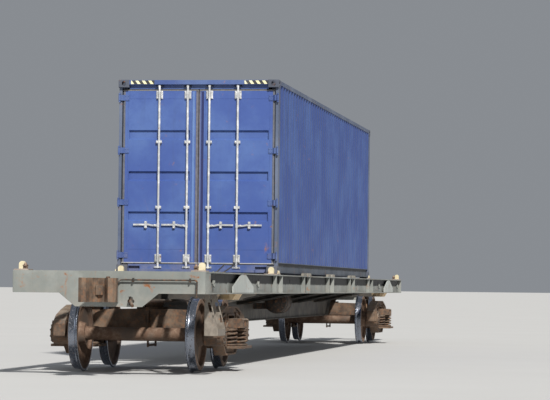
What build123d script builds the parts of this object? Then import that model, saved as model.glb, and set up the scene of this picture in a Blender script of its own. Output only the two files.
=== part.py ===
from build123d import *
import os
from math import floor

os.makedirs("parts", exist_ok=True)

# Open-frame flatcar on two three-piece bogies, carrying one 40 ft high-cube container.
# Millimetres. +X runs along the car, the container's doors face -X, +Z is up.
# The origin is at the middle of the car, at the level of the wheel flanges' tips.

# Wheels, axles and track
wheel_diameter = 957
flange_height = 28
flange_thickness = 33
rim_width = 130
rim_depth = 62
web_thickness = 24
web_dish = 26
hub_radius = 135
hub_length = 190
wheel_back_gap = 1440
wheel_seat_radius = 97
axle_radius = 86
journal_radius = 65
journal_centres = 2036
axle_length = 2294

# Bogie
bogie_centres = 18800
wheelbase = 1850
side_frame_width = 160
side_frame_end = 240
side_frame_top = 372
side_frame_shoulder = 310
side_frame_end_top = 205
lower_chord_bottom = -285
spring_seat_top = -160
spring_seat_thickness = 34
jaw_width = 336
jaw_ceiling = 166
jaw_leg = 66
jaw_foot = -45
side_frame_corner = 18
side_frame_rim = 26
side_frame_pocket = 30
column_gap = 8
column_width = 192
jaw_column = 67
top_chord_depth = 110
window_foot = 40
wedge_foot = 165
wedge_peak = 205
wedge_top = 200
wedge_width = 140
bolster_pocket = 280
bolster_wall = 20
spring_diameter = 200
spring_pitch = 205
spring_wire = 30
spring_coils = 5
bolster_end_bottom = 82
bolster_end_top = 208
bolster_length = 2600
bolster_end_run = 440
bolster_slope_run = 220
bolster_width = 450
bolster_bowl_top = 327
centre_plate_radius = 150
bowl_rim = 55
bowl_height = 25
bowl_clearance = 5
side_bearing_span = 1524
side_bearing_top = 390
side_bearing_gap = 7
axle_box_depth = 235
axle_box_radius = 150
shoe_thickness = 50
shoe_gap = 6
shoe_head = 45
hanger_top = 150
brake_beam_z = -75
brake_tie_z = -165
brake_lever_top = 300
brake_lever_gap = 10
brake_lever_width = 64

# Frame
frame_overhang = 2800
frame_width = 2530
deck_height = 1300
sill_depth = 280
sill_flange_width = 150
sill_flange_thickness = 16
sill_web_thickness = 10
sill_recess = 62
end_plate_thickness = 12
end_flange_depth = 120
corner_chamfer = 200
corner_set_in = 28
centre_web_gap = 320
centre_web_thickness = 12
centre_flange_width = 450
centre_flange_thickness = 14
centre_end_bottom = 930
belly_bottom = 560
belly_flat_half = 7550
belly_taper = 560
outer_rib_set_out = 4
rib_thickness = 16
rib_pair_gap = 620
lock_plate_width = 260
cross_beam_flange = 130
cross_beam_plate = 12
cross_beam_inner_depth = 470
body_bolster_width = 540
body_bolster_bottom = 940
bolster_web_set_in = 50
gusset_base = 1730
gusset_peak = 350
gusset_shoulder = 80
gusset_plate = 12
gusset_set_in = 4
coupler_reach = 610
coupler_height = 1060
coupler_head_depth = 300
coupler_unit = 5
shank_height = 180
shank_width = 130
shank_room = 20
shank_inside = 760
lever_stand_off = 40
lever_lift = 130
lever_drop = 210
lever_radius = 11
lever_bend = 30

# Deck fittings and steps
guide_gap = 8
guide_height = 46
end_stop_gap = 3
end_stop_length = 60
end_stop_width = 85
end_stop_height = 100
end_lock_set_back = 150
stop_length = 440
stop_width = 38
stop_height = 46
stop_gap = 70
step_set_back = 760
step_length = 540
step_height = 485
step_depth = 85
step_top_width = 55
step_width = 175
step_rim = 12
loop_radius = 9
loop_height = 105
loop_lean = 600
loop_run = 760
ring_wire = 10
ring_radius = 34
ring_inward = 1500
ring_outward = 2150

# Under the deck
light_beam_depth = 120
light_beam_width = 70
light_beam_plate = 10
brace_width = 90
pipe_radius = 20
pipe_y = 300
pipe_cross_x = -650
pipe_bend = 120
pipe_hole = 30
pipe_end = 40
rigging_z = 900
cylinder_x = 1100
cylinder_y = 560
cylinder_length = 460
cylinder_radius = 178
push_rod_radius = 22
reservoir_x = -1500
reservoir_y = 560
reservoir_length = 660
reservoir_radius = 185
valve_x = -1100
valve_y = 300
push_lever_offset = 410
back_lever_offset = 130
lever_thickness = 14
pin_radius = 14
lever_tie_y = 800
lever_rod_y = 960
pull_rod_radius = 16
pull_rod_end = (7650, 300, 830)
hanger_width = 50
hanger_strap = 8
hand_wheel_x = 4575
hand_wheel_z = 850
hand_wheel_radius = 170

# Container
container_length = 12192
container_width = 2438
container_height = 2896
lock_pad_height = 16
casting_length = 178
casting_width = 162
casting_height = 118
casting_wall = 28
casting_corner = 8
end_slot = (79, 63)
side_slot = (79, 51)
top_slot = (124, 63)
rail_set_in = 7
rail_drop = 6
rail_plate = 6
beam_set_in = 8
post_width = 110
top_rail = 60
bottom_rail_height = 150
bottom_rail_lift = 14
bottom_rail_lip = 48
bottom_rail_recess = 28
sheet = 4
wall_corrugation_depth = 36
wall_pitch = 278
roof_drop = 14
roof_corrugation_depth = 20
roof_pitch = 418
front_corrugation_depth = 45
front_pitch = 250
front_wall_set_in = 24
front_beam = 90
floor_thickness = 28
floor_beam_width = 45
floor_beam_pitch = 305
floor_beam_end = 420
floor_drop = 8
door_recess = 70
door_thickness = 56
post_face_width = 44
header_height = 132
door_sill_height = 128
header_lip = 66
door_lip = 14
sill_lip = 56
sill_notch_width = 180
sill_notch_height = 100
sill_notch_depth = 40
leaf_gap = 16
leaf_centre_gap = 12
leaf_inner = 42
leaf_stile = 90
leaf_rail = 90
leaf_sheet = 6
seal_lip = 9
groove_height = 144
groove_depth = 34
groove_slope = 17
door_post_recess = 48
hinge_pin_recess = 16
hinge_pin_side = 12
hinge_pin_radius = 8
hinge_eye_radius = 14
hinge_height = 84
hinge_lug_height = 20
hinge_lug_gap = 5
hinge_clearance = 0.4
lock_bar_radius = 17
lock_bar_stand_off = 25
lock_bar_places = (165, 597)
bar_reach = 75
cam_half = 34
keeper_gap = 8
bracket_height = 120
handle_share = 0.2175
handle_length = 380

# Clearances
seat_gap = 0.3
bearing_gap = 0.3

# Levels and places worked out from the sizes above
rail_top = flange_height
wheel_radius = wheel_diameter / 2
axle_z = rail_top + wheel_radius
wheel_back = wheel_back_gap / 2
journal_y = journal_centres / 2
pivot_x = bogie_centres / 2
deck_z = rail_top + deck_height
sill_bottom = deck_z - sill_depth
half_length = pivot_x + frame_overhang
half_width = frame_width / 2
sill_web_outer = half_width - sill_recess
sill_web_inner = sill_web_outer - sill_web_thickness
sill_flange_inner = half_width - sill_flange_width
beam_end = half_length - end_plate_thickness
centre_web_outer = centre_web_gap / 2 + centre_web_thickness
centre_flange_half = centre_flange_width / 2
centre_end_z = rail_top + centre_end_bottom
belly_z = rail_top + belly_bottom
container_z = deck_z + lock_pad_height
container_top = container_z + container_height
half_box = container_length / 2
half_box_width = container_width / 2
rib_pitch = (half_box + outer_rib_set_out) / 2
rib_stations = [rib_pitch * k for k in (-2, -1, 0, 1, 2)]
bolster_edge = pivot_x - body_bolster_width / 2
end_bay_middle = (2 * rib_pitch + rib_pair_gap / 2 + bolster_edge) / 2
light_stations = [-end_bay_middle, -1.5 * rib_pitch, -0.5 * rib_pitch]
light_stations += [0.5 * rib_pitch, 1.5 * rib_pitch, end_bay_middle]
cross_beam_low = deck_z - cross_beam_inner_depth
pipe_z = rail_top + body_bolster_bottom - seat_gap - pipe_radius
push_lever_x = cylinder_x + cylinder_length / 2 + push_lever_offset
back_lever_x = cylinder_x - cylinder_length / 2 - back_lever_offset
lever_z = rigging_z + seat_gap + lever_thickness / 2
sides = (-1, 1)


def block(x, y, z):
    """A box from its spans along X, Y and Z."""
    middle = Pos((x[0] + x[1]) / 2, (y[0] + y[1]) / 2, (z[0] + z[1]) / 2)
    return middle * Box(abs(x[1] - x[0]), abs(y[1] - y[0]), abs(z[1] - z[0]))


def along_y(outline, y):
    """A prism whose outline is (x, z) points, between two places on Y."""
    profile = make_face(Polyline(*[(px, y[0], pz) for px, pz in outline], close=True))
    return extrude(profile, amount=y[1] - y[0], dir=(0, 1, 0))


def along_x(outline, x):
    """A prism whose outline is (y, z) points, between two places on X."""
    profile = make_face(Polyline(*[(x[0], py, pz) for py, pz in outline], close=True))
    return extrude(profile, amount=x[1] - x[0], dir=(1, 0, 0))


def along_z(outline, z):
    """A prism whose outline is (x, y) points, between two heights."""
    profile = make_face(Polyline(*[(px, py, z[0]) for px, py in outline], close=True))
    return extrude(profile, amount=z[1] - z[0], dir=(0, 0, 1))


def rod(a, b, radius):
    """A round bar between two points."""
    run = Vector(*b) - Vector(*a)
    return extrude(Plane(origin=a, z_dir=run) * Circle(radius), amount=run.length)


def bent_rod(points, radius, bend):
    """A round bar along straight runs with bends between them."""
    start = Vector(*points[0])
    section = Plane(origin=start, z_dir=Vector(*points[1]) - start) * Circle(radius)
    return sweep(section, path=FilletPolyline(*points, radius=bend))


def turned_y(profile):
    """A solid of revolution about the Y axis from (radius, y) points."""
    return revolve(make_face(Polyline(*[(r, y, 0) for r, y in profile], close=True)), Axis.Y)


def joined(shapes):
    """One solid from pieces that meet or overlap."""
    shapes = list(shapes)
    whole = shapes[0]
    for piece in shapes[1:]:
        whole = whole + piece
    return whole


def span(side, near, far):
    """A span on Y or X that is mirrored with the side, low end first."""
    return tuple(sorted((side * near, side * far)))


def write(node, *shapes):
    """One STEP file for a node, from the solids of its shapes."""
    solids = [solid for shape in shapes for solid in shape.solids()]
    export_step(Compound(solids), f"parts/{node}.step")


# Wheels and axles
def wheel(side):
    """A wheel with flange, coned tread, dished web and hub, on one side of the car."""
    back = wheel_back
    face_y = back + rim_width
    rolling = back + 70
    web_rim = rolling - web_dish / 2
    web_hub = rolling + web_dish / 2
    half_web = web_thickness / 2
    hub_mid = (back + face_y) / 2 + 15
    inside = wheel_radius - rim_depth
    profile = [
        (inside, back),
        (wheel_radius + flange_height - 10, back),
        (wheel_radius + flange_height, back + 10),
        (wheel_radius + flange_height, back + 18),
        (wheel_radius + 6, back + flange_thickness),
        (wheel_radius + 1, back + flange_thickness + 12),
        (wheel_radius, rolling),
        (wheel_radius - 3, face_y - 10),
        (wheel_radius - 12, face_y),
        (inside, face_y),
        (inside - 14, web_rim + half_web + 6),
        (hub_radius + 25, web_hub + half_web),
        (hub_radius, hub_mid + hub_length / 2),
        (wheel_seat_radius, hub_mid + hub_length / 2),
        (wheel_seat_radius, hub_mid - hub_length / 2),
        (hub_radius, hub_mid - hub_length / 2),
        (hub_radius + 25, web_hub - half_web),
        (inside - 14, web_rim - half_web - 6),
    ]
    return turned_y([(r, side * y) for r, y in profile])


hub_middle = wheel_back + rim_width / 2 + 15
hub_outer = hub_middle + hub_length / 2
hub_inner = hub_middle - hub_length / 2


def axle():
    """The solid axle: body, wheel seats and journals."""
    end = axle_length / 2
    box_back = journal_y - axle_box_depth / 2
    half = [
        (axle_radius, hub_inner - 60),
        (wheel_seat_radius, hub_inner),
        (wheel_seat_radius, hub_outer),
        (journal_radius + 18, hub_outer),
        (journal_radius + 18, box_back - 20),
        (journal_radius, box_back - 4),
        (journal_radius, end),
    ]
    profile = [(0, -end)] + [(r, -y) for r, y in reversed(half)] + half + [(0, end)]
    return turned_y(profile)


def to_bogie(shape, end, number):
    """A shape made round an axle at the origin, moved to its place on the car."""
    return Pos(end * pivot_x + number * wheelbase / 2, 0, axle_z) * shape


# Bogie castings, drawn about the bogie's centre with heights from the axle
column_x = bolster_width / 2 + column_gap
spring_bay_half = 1.5 * spring_pitch + 25


def side_frame(side):
    """The cast side frame: chords, jaws, windows, pocketed outer face and spring seat."""
    half = wheelbase / 2 + side_frame_end
    jaw_in = wheelbase / 2 - jaw_width / 2
    jaw_out = wheelbase / 2 + jaw_width / 2
    window_in = column_x + column_width
    window_out = jaw_in - jaw_column
    right = [
        (window_in, side_frame_top),
        (jaw_in, side_frame_shoulder),
        (half - 130, side_frame_end_top + 34),
        (half - 22, side_frame_end_top - 30),
        (half, side_frame_end_top - 80),
        (half, jaw_foot),
        (jaw_out, jaw_foot),
        (jaw_out, jaw_ceiling),
        (jaw_in, jaw_ceiling),
        (jaw_in, jaw_foot - 25),
        (jaw_in - jaw_leg, jaw_foot - 50),
        (window_in - 25, lower_chord_bottom),
    ]
    bay = [
        (spring_bay_half, spring_seat_top),
        (spring_bay_half, bolster_end_bottom + 6),
        (column_x, bolster_end_bottom + 62),
        (column_x, bolster_end_top + 38),
    ]
    window = [
        (window_in, side_frame_top - top_chord_depth),
        (window_out, side_frame_shoulder - top_chord_depth + 15),
        (window_out - 15, window_foot),
        (window_in, spring_seat_top + 10),
    ]
    rim = side_frame_rim
    middle = [
        (window_in, side_frame_top - rim),
        (jaw_in - rim, side_frame_shoulder - rim),
        (jaw_in - rim, jaw_foot),
        (jaw_in - jaw_leg - 14, jaw_foot - 28),
        (window_in - 30, lower_chord_bottom + rim),
    ]
    inner_y = side * (journal_y - side_frame_width / 2)
    outer_y = side * (journal_y + side_frame_width / 2)
    flat = Plane(origin=(0, inner_y, 0), x_dir=(1, 0, 0), z_dir=(0, side, 0))
    # The plane's own Y runs down on the left side of the car and up on the right.
    turn = -side

    def face(points):
        return make_face(Polyline(*[(x, turn * z) for x, z in points], close=True))

    outline = face(right + [(-x, z) for x, z in reversed(right)])
    outline = fillet(outline.vertices(), side_frame_corner)
    spring_bay = face(bay + [(-x, z) for x, z in reversed(bay)])
    windows = [face([(way * x, z) for x, z in window]) for way in sides]
    section = outline - spring_bay
    pocket = face(middle + [(-x, z) for x, z in reversed(middle)]) - offset(spring_bay, rim)
    for one in windows:
        section = section - fillet(one.vertices(), 2 * side_frame_corner)
        pocket = pocket - offset(one, rim)
    body = extrude(flat * section, amount=side_frame_width)
    cut = extrude(flat * pocket, amount=side_frame_width)
    keep = block((-half, half), span(1, outer_y - side * side_frame_pocket, outer_y), (-500, 500))
    body = body - (cut & keep)
    hanger_x = wheelbase / 2 - wheel_radius - shoe_gap - shoe_thickness - shoe_head
    bracket_y = span(side, wheel_back + 32, journal_y - side_frame_width / 2)
    for way in sides:
        bracket_x = span(way, hanger_x - 32, hanger_x + 32)
        body = body + block(bracket_x, bracket_y, (hanger_top + seat_gap, hanger_top + 36))
    shelf_y = span(side, journal_y - spring_bay_half + 20, journal_y + spring_bay_half - 20)
    shelf_z = (spring_seat_top - spring_seat_thickness, spring_seat_top)
    return body + block((-spring_bay_half, spring_bay_half), shelf_y, shelf_z)


# Spring places in one nest, as (along, across) steps of the spring pitch
spring_places = [(-1, -0.5), (-1, 0.5), (0, -1), (0, 0), (0, 1), (1, -0.5), (1, 0.5)]


def spring():
    """A coil spring, drawn as its stacked coils."""
    low = spring_seat_top + seat_gap
    high = bolster_end_bottom - seat_gap
    pitch = (high - low) / spring_coils
    outer = spring_diameter / 2
    inner = outer - spring_wire
    profile = [(inner, low), (outer, low)]
    for turn in range(spring_coils):
        base = low + turn * pitch
        if turn > 0:
            profile.append((outer, base + 0.2 * pitch))
        profile.append((outer, base + 0.7 * pitch))
        if turn < spring_coils - 1:
            profile.append((outer - spring_wire * 0.6, base + 0.95 * pitch))
    profile += [(inner, high)]
    face_xz = make_face(Polyline(*[(r, 0, z) for r, z in profile], close=True))
    return revolve(face_xz, Axis.Z)


def spring_nests():
    """The seven springs of each nest, under both ends of the bolster."""
    one = spring()
    places = []
    for side in sides:
        for step_x, step_y in spring_places:
            across = side * journal_y + step_y * spring_pitch
            places.append(Pos(step_x * spring_pitch, across, 0) * one)
    return places


def wedge_outline(grow):
    """The friction wedge seen from the side, or its pocket when grown."""
    low = bolster_end_bottom
    face = column_x - seat_gap
    return [
        (wedge_foot - 2 * grow, low - 3 * grow),
        (face + 3 * grow, low - 3 * grow),
        (face + 3 * grow, wedge_top + grow),
        (wedge_peak - grow, wedge_top + grow),
    ]


def wedges():
    """The four friction wedges, between the bolster's ends and the columns."""
    pieces = []
    for side in sides:
        depth = span(side, journal_y - wedge_width / 2, journal_y + wedge_width / 2)
        for way in sides:
            pieces.append(along_y([(way * x, z) for x, z in wedge_outline(0)], depth))
    return pieces


def bogie_bolster():
    """The box bolster across the bogie, with open ends, bowl and side bearings."""
    half = bolster_length / 2
    bowl_outer = centre_plate_radius + bowl_clearance + bowl_rim
    right = [
        (540, -58),
        (630, 10),
        (700, bolster_end_bottom),
        (half, bolster_end_bottom),
        (half, bolster_end_top - 18),
        (half - 26, bolster_end_top),
        (half - bolster_end_run, bolster_end_top),
        (half - bolster_end_run - bolster_slope_run, bolster_bowl_top - 12),
        (bowl_outer + 30, bolster_bowl_top),
    ]
    whole = right + [(-y, z) for y, z in reversed(right)]
    body = along_x(whole, (-bolster_width / 2, bolster_width / 2))
    for side in sides:
        pocket_y = span(side, half - bolster_pocket, half + 1)
        for way in sides:
            pocket_x = span(way, bolster_wall, wedge_foot - bolster_wall)
            pocket_z = (bolster_end_bottom + bolster_wall, bolster_end_top - bolster_wall)
            body = body - block(pocket_x, pocket_y, pocket_z)
            depth = span(side, journal_y - wedge_width / 2 - seat_gap, journal_y + wedge_width / 2 + seat_gap)
            body = body - along_y([(way * x, z) for x, z in wedge_outline(seat_gap)], depth)
        y = side * side_bearing_span / 2
        body = body + block((-110, 110), (y - 62, y + 62), (bolster_end_top, side_bearing_top))
    bowl = Pos(0, 0, bolster_bowl_top + bowl_height / 2) * Cylinder(bowl_outer, bowl_height)
    room = Cylinder(centre_plate_radius + bowl_clearance, bowl_height)
    return body + (bowl - Pos(0, 0, bolster_bowl_top + bowl_height / 2) * room)


def axle_box(side):
    """The axle box: a rounded housing between the jaws, with its round cover."""
    inner = journal_y - axle_box_depth / 2
    outer = journal_y + axle_box_depth / 2
    depth = span(side, inner, outer)
    half = axle_box_radius
    top = jaw_ceiling - seat_gap
    lug = jaw_width / 2 - 5
    middle = side * (inner + outer) / 2
    parts = [
        block((-half, half), depth, (0, top)),
        Pos(0, middle, 0) * Rot(90, 0, 0) * Cylinder(half, outer - inner),
        block((-lug, lug), depth, (-30, jaw_ceiling - side_frame_corner)),
        Pos(0, side * (outer + 14), 0) * Rot(90, 0, 0) * Cylinder(128, 28),
        Pos(0, side * (outer + 32), 0) * Rot(90, 0, 0) * Cylinder(70, 12),
    ]
    bore_end = axle_length / 2 + 2
    bore = rod((0, side * (inner - 1), 0), (0, side * bore_end, 0), journal_radius + bearing_gap)
    return joined(parts) - bore


def brake_gear():
    """Braced brake beams with shoes, hangers and upright levers, tied under the bolster."""
    rolling = wheel_back + 70
    beam_x = wheelbase / 2 - wheel_radius - shoe_gap - shoe_thickness - shoe_head
    lever_x = bolster_width / 2 + brake_lever_gap + brake_lever_width / 2
    reach = wheel_radius + shoe_gap
    half_lever = brake_lever_width / 2
    parts = []
    for way in sides:
        centre = Pos(way * wheelbase / 2, 0, 0)
        ends = [(way * beam_x, side * rolling, brake_beam_z) for side in sides]
        parts.append(rod(ends[0], ends[1], 32))
        parts.append(block(span(way, lever_x, beam_x), (-26, 26), (brake_beam_z - 20, brake_beam_z + 20)))
        lever = [
            (way * (lever_x - half_lever), brake_tie_z - 25),
            (way * (lever_x + half_lever), brake_tie_z - 25),
            (way * (lever_x + half_lever), brake_beam_z + 40),
            (way * (lever_x + half_lever - 20), brake_lever_top),
            (way * (lever_x - half_lever), brake_lever_top),
        ]
        parts.append(along_y(lever, (-9, 9)))
        for side in sides:
            y = side * (rolling + 12)
            tip = (way * (lever_x + half_lever), side * 20, brake_beam_z)
            parts.append(rod((way * beam_x, side * (rolling - 90), brake_beam_z), tip, 15))
            ring = Cylinder(reach + shoe_thickness, 76) - Cylinder(reach, 76)
            ring = centre * Pos(0, y, 0) * Rot(90, 0, 0) * ring
            parts.append(ring & block(span(way, 0, wheelbase / 2 - 300), (y - 60, y + 60), (-185, 95)))
            head = block(span(way, beam_x - 20, beam_x + 52), (y - 24, y + 24), (-120, 40))
            parts.append(head - centre * Pos(0, y, 0) * Rot(90, 0, 0) * Cylinder(reach + 20, 100))
            foot = (way * beam_x, y - side * 30, brake_beam_z)
            parts.append(rod(foot, (foot[0], foot[1], hanger_top), 14))
    parts.append(rod((-lever_x, 0, brake_tie_z), (lever_x, 0, brake_tie_z), 16))
    return joined(parts)


bogie_names = {-1: "front", 1: "rear"}
wheelset_number = {(-1, -1): 1, (-1, 1): 2, (1, -1): 3, (1, 1): 4}
for end in sides:
    name = bogie_names[end]
    here = Pos(end * pivot_x, 0, axle_z)
    write(f"bogie_{name}_side_frames", *[here * side_frame(side) for side in sides])
    write(f"bogie_{name}_springs", *[here * one for one in spring_nests()])
    write(f"bogie_{name}_bolster", *[here * one for one in [bogie_bolster()] + wedges()])
    boxes = [to_bogie(axle_box(side), end, number) for number in sides for side in sides]
    write(f"bogie_{name}_axle_boxes", *boxes)
    write(f"bogie_{name}_brake_gear", here * brake_gear())
    for number in sides:
        count = wheelset_number[(end, number)]
        write(f"axle_{count}", to_bogie(axle(), end, number))
        write(f"wheels_{count}", *[to_bogie(wheel(side), end, number) for side in sides])


# Flatcar frame
def centre_sill():
    """The fish-belly centre sill: two webs, a top plate and a bent bottom plate."""
    plate = centre_flange_thickness
    low = [(-beam_end, centre_end_z), (-belly_flat_half - belly_taper, centre_end_z)]
    low += [(-belly_flat_half, belly_z), (belly_flat_half, belly_z)]
    low += [(belly_flat_half + belly_taper, centre_end_z), (beam_end, centre_end_z)]
    web_low = [(x, z + plate) for x, z in low]
    web = [(beam_end, deck_z - plate), (-beam_end, deck_z - plate)] + web_low
    pieces = [along_y(low + list(reversed(web_low)), (-centre_flange_half, centre_flange_half))]
    for side in sides:
        pieces.append(along_y(web, span(side, centre_web_gap / 2, centre_web_outer)))
    across = (-centre_flange_half, centre_flange_half)
    pieces.append(block((-beam_end, beam_end), across, (deck_z - plate, deck_z)))
    hole = rod((pipe_cross_x, -centre_web_gap, pipe_z), (pipe_cross_x, centre_web_gap, pipe_z), pipe_hole)
    return joined(pieces) - hole


def side_sill(side):
    """A side sill: flanged beam with a set-back web and paired ribs on its outer face."""
    length = (-beam_end, beam_end)
    thick = sill_flange_thickness
    flange = span(side, sill_flange_inner, half_width)
    pieces = [block(length, span(side, sill_web_inner, sill_web_outer), (sill_bottom, deck_z))]
    pieces.append(block(length, flange, (deck_z - thick, deck_z)))
    pieces.append(block(length, flange, (sill_bottom, sill_bottom + thick)))
    rib_span = span(side, sill_web_outer, half_width)
    for station in rib_stations:
        for way in sides:
            x = station + way * rib_pair_gap / 2
            rib_x = (x - rib_thickness / 2, x + rib_thickness / 2)
            pieces.append(block(rib_x, rib_span, (sill_bottom, deck_z)))
    beam = joined(pieces)
    for end in sides:
        corner = [
            (end * (half_length + 1), side * (half_width - corner_set_in)),
            (end * (half_length + 1), side * (half_width + 1)),
            (end * (half_length - corner_chamfer), side * (half_width + 1)),
            (end * (half_length - corner_chamfer), side * half_width),
        ]
        beam = beam - along_z(corner, (sill_bottom - 1, deck_z + 1))
    return beam


def sill_gussets():
    """Tapered gusset plates that close the side sills' outer face at the body bolsters."""
    low = sill_bottom + sill_flange_thickness
    high = deck_z - sill_flange_thickness
    outer = half_width - gusset_set_in
    half = [
        (gusset_base / 2, low),
        (gusset_base / 2, low + gusset_shoulder),
        (gusset_peak / 2, high),
    ]
    pieces = []
    for end in sides:
        x = end * pivot_x
        outline = [(x + out, z) for out, z in half] + [(x - out, z) for out, z in reversed(half)]
        for side in sides:
            pieces.append(along_y(outline, span(side, outer - gusset_plate, outer)))
    return pieces


def lashing_rings():
    """Lashing rings on the sills' webs, inward and outward of each gusset."""
    pieces = []
    z = sill_bottom + sill_depth / 2
    for end in sides:
        for offset_x in (-ring_inward, ring_outward):
            x = end * (pivot_x + offset_x)
            for side in sides:
                pad_y = span(side, sill_web_outer, sill_web_outer + 16)
                pad = block((x - 45, x + 45), pad_y, (z - 8, z + 42))
                ring_y = side * (sill_web_outer + 16 + ring_wire)
                ring = Rot(90, 0, 0) * Torus(ring_radius, ring_wire)
                ring = Pos(x, ring_y, z - ring_radius + 20) * ring
                eye_y = span(side, sill_web_outer, sill_web_outer + 38)
                eye = block((x - 16, x + 16), eye_y, (z + 4, z + 36))
                pieces.append(joined([pad, eye, ring]))
    return pieces


def end_beam(end):
    """An end beam: plate, flanges, stiffeners and the coupler's opening."""
    face = half_length
    x_plate = span(end, beam_end, face)
    low = centre_end_z - 80
    half = half_width - corner_set_in
    right = [(half, deck_z), (half, sill_bottom), (640, sill_bottom), (430, low)]
    beam = along_x(right + [(-y, z) for y, z in reversed(right)], x_plate)
    x_flange = span(end, beam_end - end_flange_depth, beam_end)
    for side in sides:
        across = span(side, centre_flange_half, sill_flange_inner)
        beam = beam + block(x_flange, across, (deck_z - end_plate_thickness, deck_z))
        beam = beam + block(x_flange, across, (sill_bottom, sill_bottom + end_plate_thickness))
        rib_y = span(side, 560, 572)
        beam = beam + block(x_flange, rib_y, (sill_bottom, deck_z))
    z = rail_top + coupler_height
    room = shank_width / 2 + shank_room
    tall = shank_height / 2 + shank_room
    x_all = span(end, beam_end - 400, face + 90)
    horn_z = (z - tall - 42, z + tall + 42)
    beam = beam + block(span(end, face, face + 70), (-room - 42, room + 42), horn_z)
    beam = beam - block(x_all, (-room, room), (z - shank_height / 2 - seat_gap, z + tall))
    pipe = end * pipe_y
    return beam - rod((x_all[0], pipe, pipe_z), (x_all[1], pipe, pipe_z), pipe_hole)


def body_bolster(end):
    """One half of a body bolster: a welded box between the centre sill and a side sill."""
    middle = end * pivot_x
    half_x = body_bolster_width / 2
    x = (middle - half_x, middle + half_x)
    bottom = rail_top + body_bolster_bottom
    thick = sill_flange_thickness
    halves = []
    for side in sides:
        across = span(side, centre_flange_half, sill_flange_inner)
        parts = [block(x, across, (bottom, bottom + thick)), block(x, across, (deck_z - thick, deck_z))]
        for way in sides:
            web_x = span(way, half_x - bolster_web_set_in - thick, half_x - bolster_web_set_in)
            web_x = (middle + web_x[0], middle + web_x[1])
            parts.append(block(web_x, across, (bottom, deck_z)))
            inner = (centre_end_z + centre_flange_thickness, deck_z - centre_flange_thickness)
            parts.append(block(web_x, span(side, centre_web_outer, centre_flange_half), inner))
            outer = (sill_bottom + thick, deck_z - thick)
            parts.append(block(web_x, span(side, sill_flange_inner, sill_web_inner), outer))
        foot = [
            (side * (sill_flange_inner - 5), bottom),
            (side * (sill_flange_inner + 35), bottom),
            (side * (sill_flange_inner + 85), sill_bottom),
            (side * (sill_flange_inner - 5), sill_bottom),
        ]
        parts.append(along_x(foot, x))
        y = side * side_bearing_span / 2
        parts.append(block((middle - 130, middle + 130), (y - 70, y + 70), (bottom, bottom + 120)))
        halves.append(joined(parts))
    return halves


def pivot_plates(end):
    """The centre plate under the centre sill and the upper side bearings."""
    x = end * pivot_x
    low = axle_z + bolster_bowl_top + seat_gap
    high = centre_end_z
    plate_z = low + 36
    plate = Pos(x, 0, (low + plate_z) / 2) * Cylinder(centre_plate_radius, plate_z - low)
    flare = Pos(x, 0, (plate_z + high) / 2) * Cone(centre_plate_radius, 200, high - plate_z)
    bearing_z = (axle_z + side_bearing_top + side_bearing_gap, rail_top + body_bolster_bottom)
    pieces = [plate + flare]
    for side in sides:
        y = side * side_bearing_span / 2
        pieces.append(block((x - 130, x + 130), (y - 70, y + 70), bearing_z))
    return pieces


def cross_beam_underside(y):
    """The height of a cross beam's underside at a distance from the car's middle."""
    share = (y - centre_flange_half) / (sill_flange_inner - centre_flange_half)
    return cross_beam_low + share * (sill_bottom - cross_beam_low)


def cross_beams():
    """Pairs of tapered I-beams at the ribs, each pair joined by a lock plate."""
    plate = cross_beam_plate
    pieces = []
    for station in rib_stations:
        for side in sides:
            low = [(side * centre_flange_half, cross_beam_low), (side * sill_flange_inner, sill_bottom)]
            web = low + [
                (side * sill_flange_inner, sill_bottom + sill_flange_thickness),
                (side * sill_web_inner, sill_bottom + sill_flange_thickness),
                (side * sill_web_inner, deck_z - sill_flange_thickness),
                (side * sill_flange_inner, deck_z - sill_flange_thickness),
                (side * sill_flange_inner, deck_z),
                (side * centre_flange_half, deck_z),
                (side * centre_flange_half, deck_z - centre_flange_thickness),
                (side * centre_web_outer, deck_z - centre_flange_thickness),
                (side * centre_web_outer, cross_beam_low),
            ]
            slope = low + [(y, z + plate) for y, z in reversed(low)]
            half = cross_beam_flange / 2
            across = span(side, centre_flange_half, sill_flange_inner)
            parts = []
            for way in sides:
                x = station + way * rib_pair_gap / 2
                beam = along_x(web, (x - plate / 2, x + plate / 2))
                start = (x - half, side * pipe_y, pipe_z)
                hole = rod(start, (x + half, side * pipe_y, pipe_z), pipe_hole)
                parts.append(beam - hole)
                parts.append(block((x - half, x + half), across, (deck_z - plate, deck_z)))
                parts.append(along_x(slope, (x - half, x + half)))
            lock_x = (station - rib_pair_gap / 2, station + rib_pair_gap / 2)
            lock_y = span(side, sill_flange_inner - lock_plate_width, sill_flange_inner)
            parts.append(block(lock_x, lock_y, (deck_z - plate, deck_z)))
            pieces.append(joined(parts))
    return pieces


def light_beams():
    """Light channels across the frame between the cross beams."""
    pieces = []
    plate = light_beam_plate
    for x in light_stations:
        for side in sides:
            across = span(side, centre_flange_half, sill_flange_inner)
            low = deck_z - light_beam_depth
            flange_x = (x - plate / 2, x - plate / 2 + light_beam_width)
            web = block((x - plate / 2, x + plate / 2), across, (low, deck_z))
            top = block(flange_x, across, (deck_z - plate, deck_z))
            foot = block(flange_x, across, (low, low + plate))
            pieces.append(joined([web, top, foot]))
    return pieces


def end_braces():
    """Diagonal braces in plan, from the body bolsters to the frame's corners."""
    pieces = []
    for end in sides:
        start = end * (pivot_x + body_bolster_width / 2)
        stop = end * (beam_end - end_flange_depth)
        for side in sides:
            outline = [
                (start, side * centre_flange_half),
                (start, side * (centre_flange_half + brace_width)),
                (stop, side * sill_flange_inner),
                (stop, side * (sill_flange_inner - brace_width)),
            ]
            pieces.append(along_z(outline, (deck_z - 70, deck_z - 10)))
    return pieces


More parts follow.
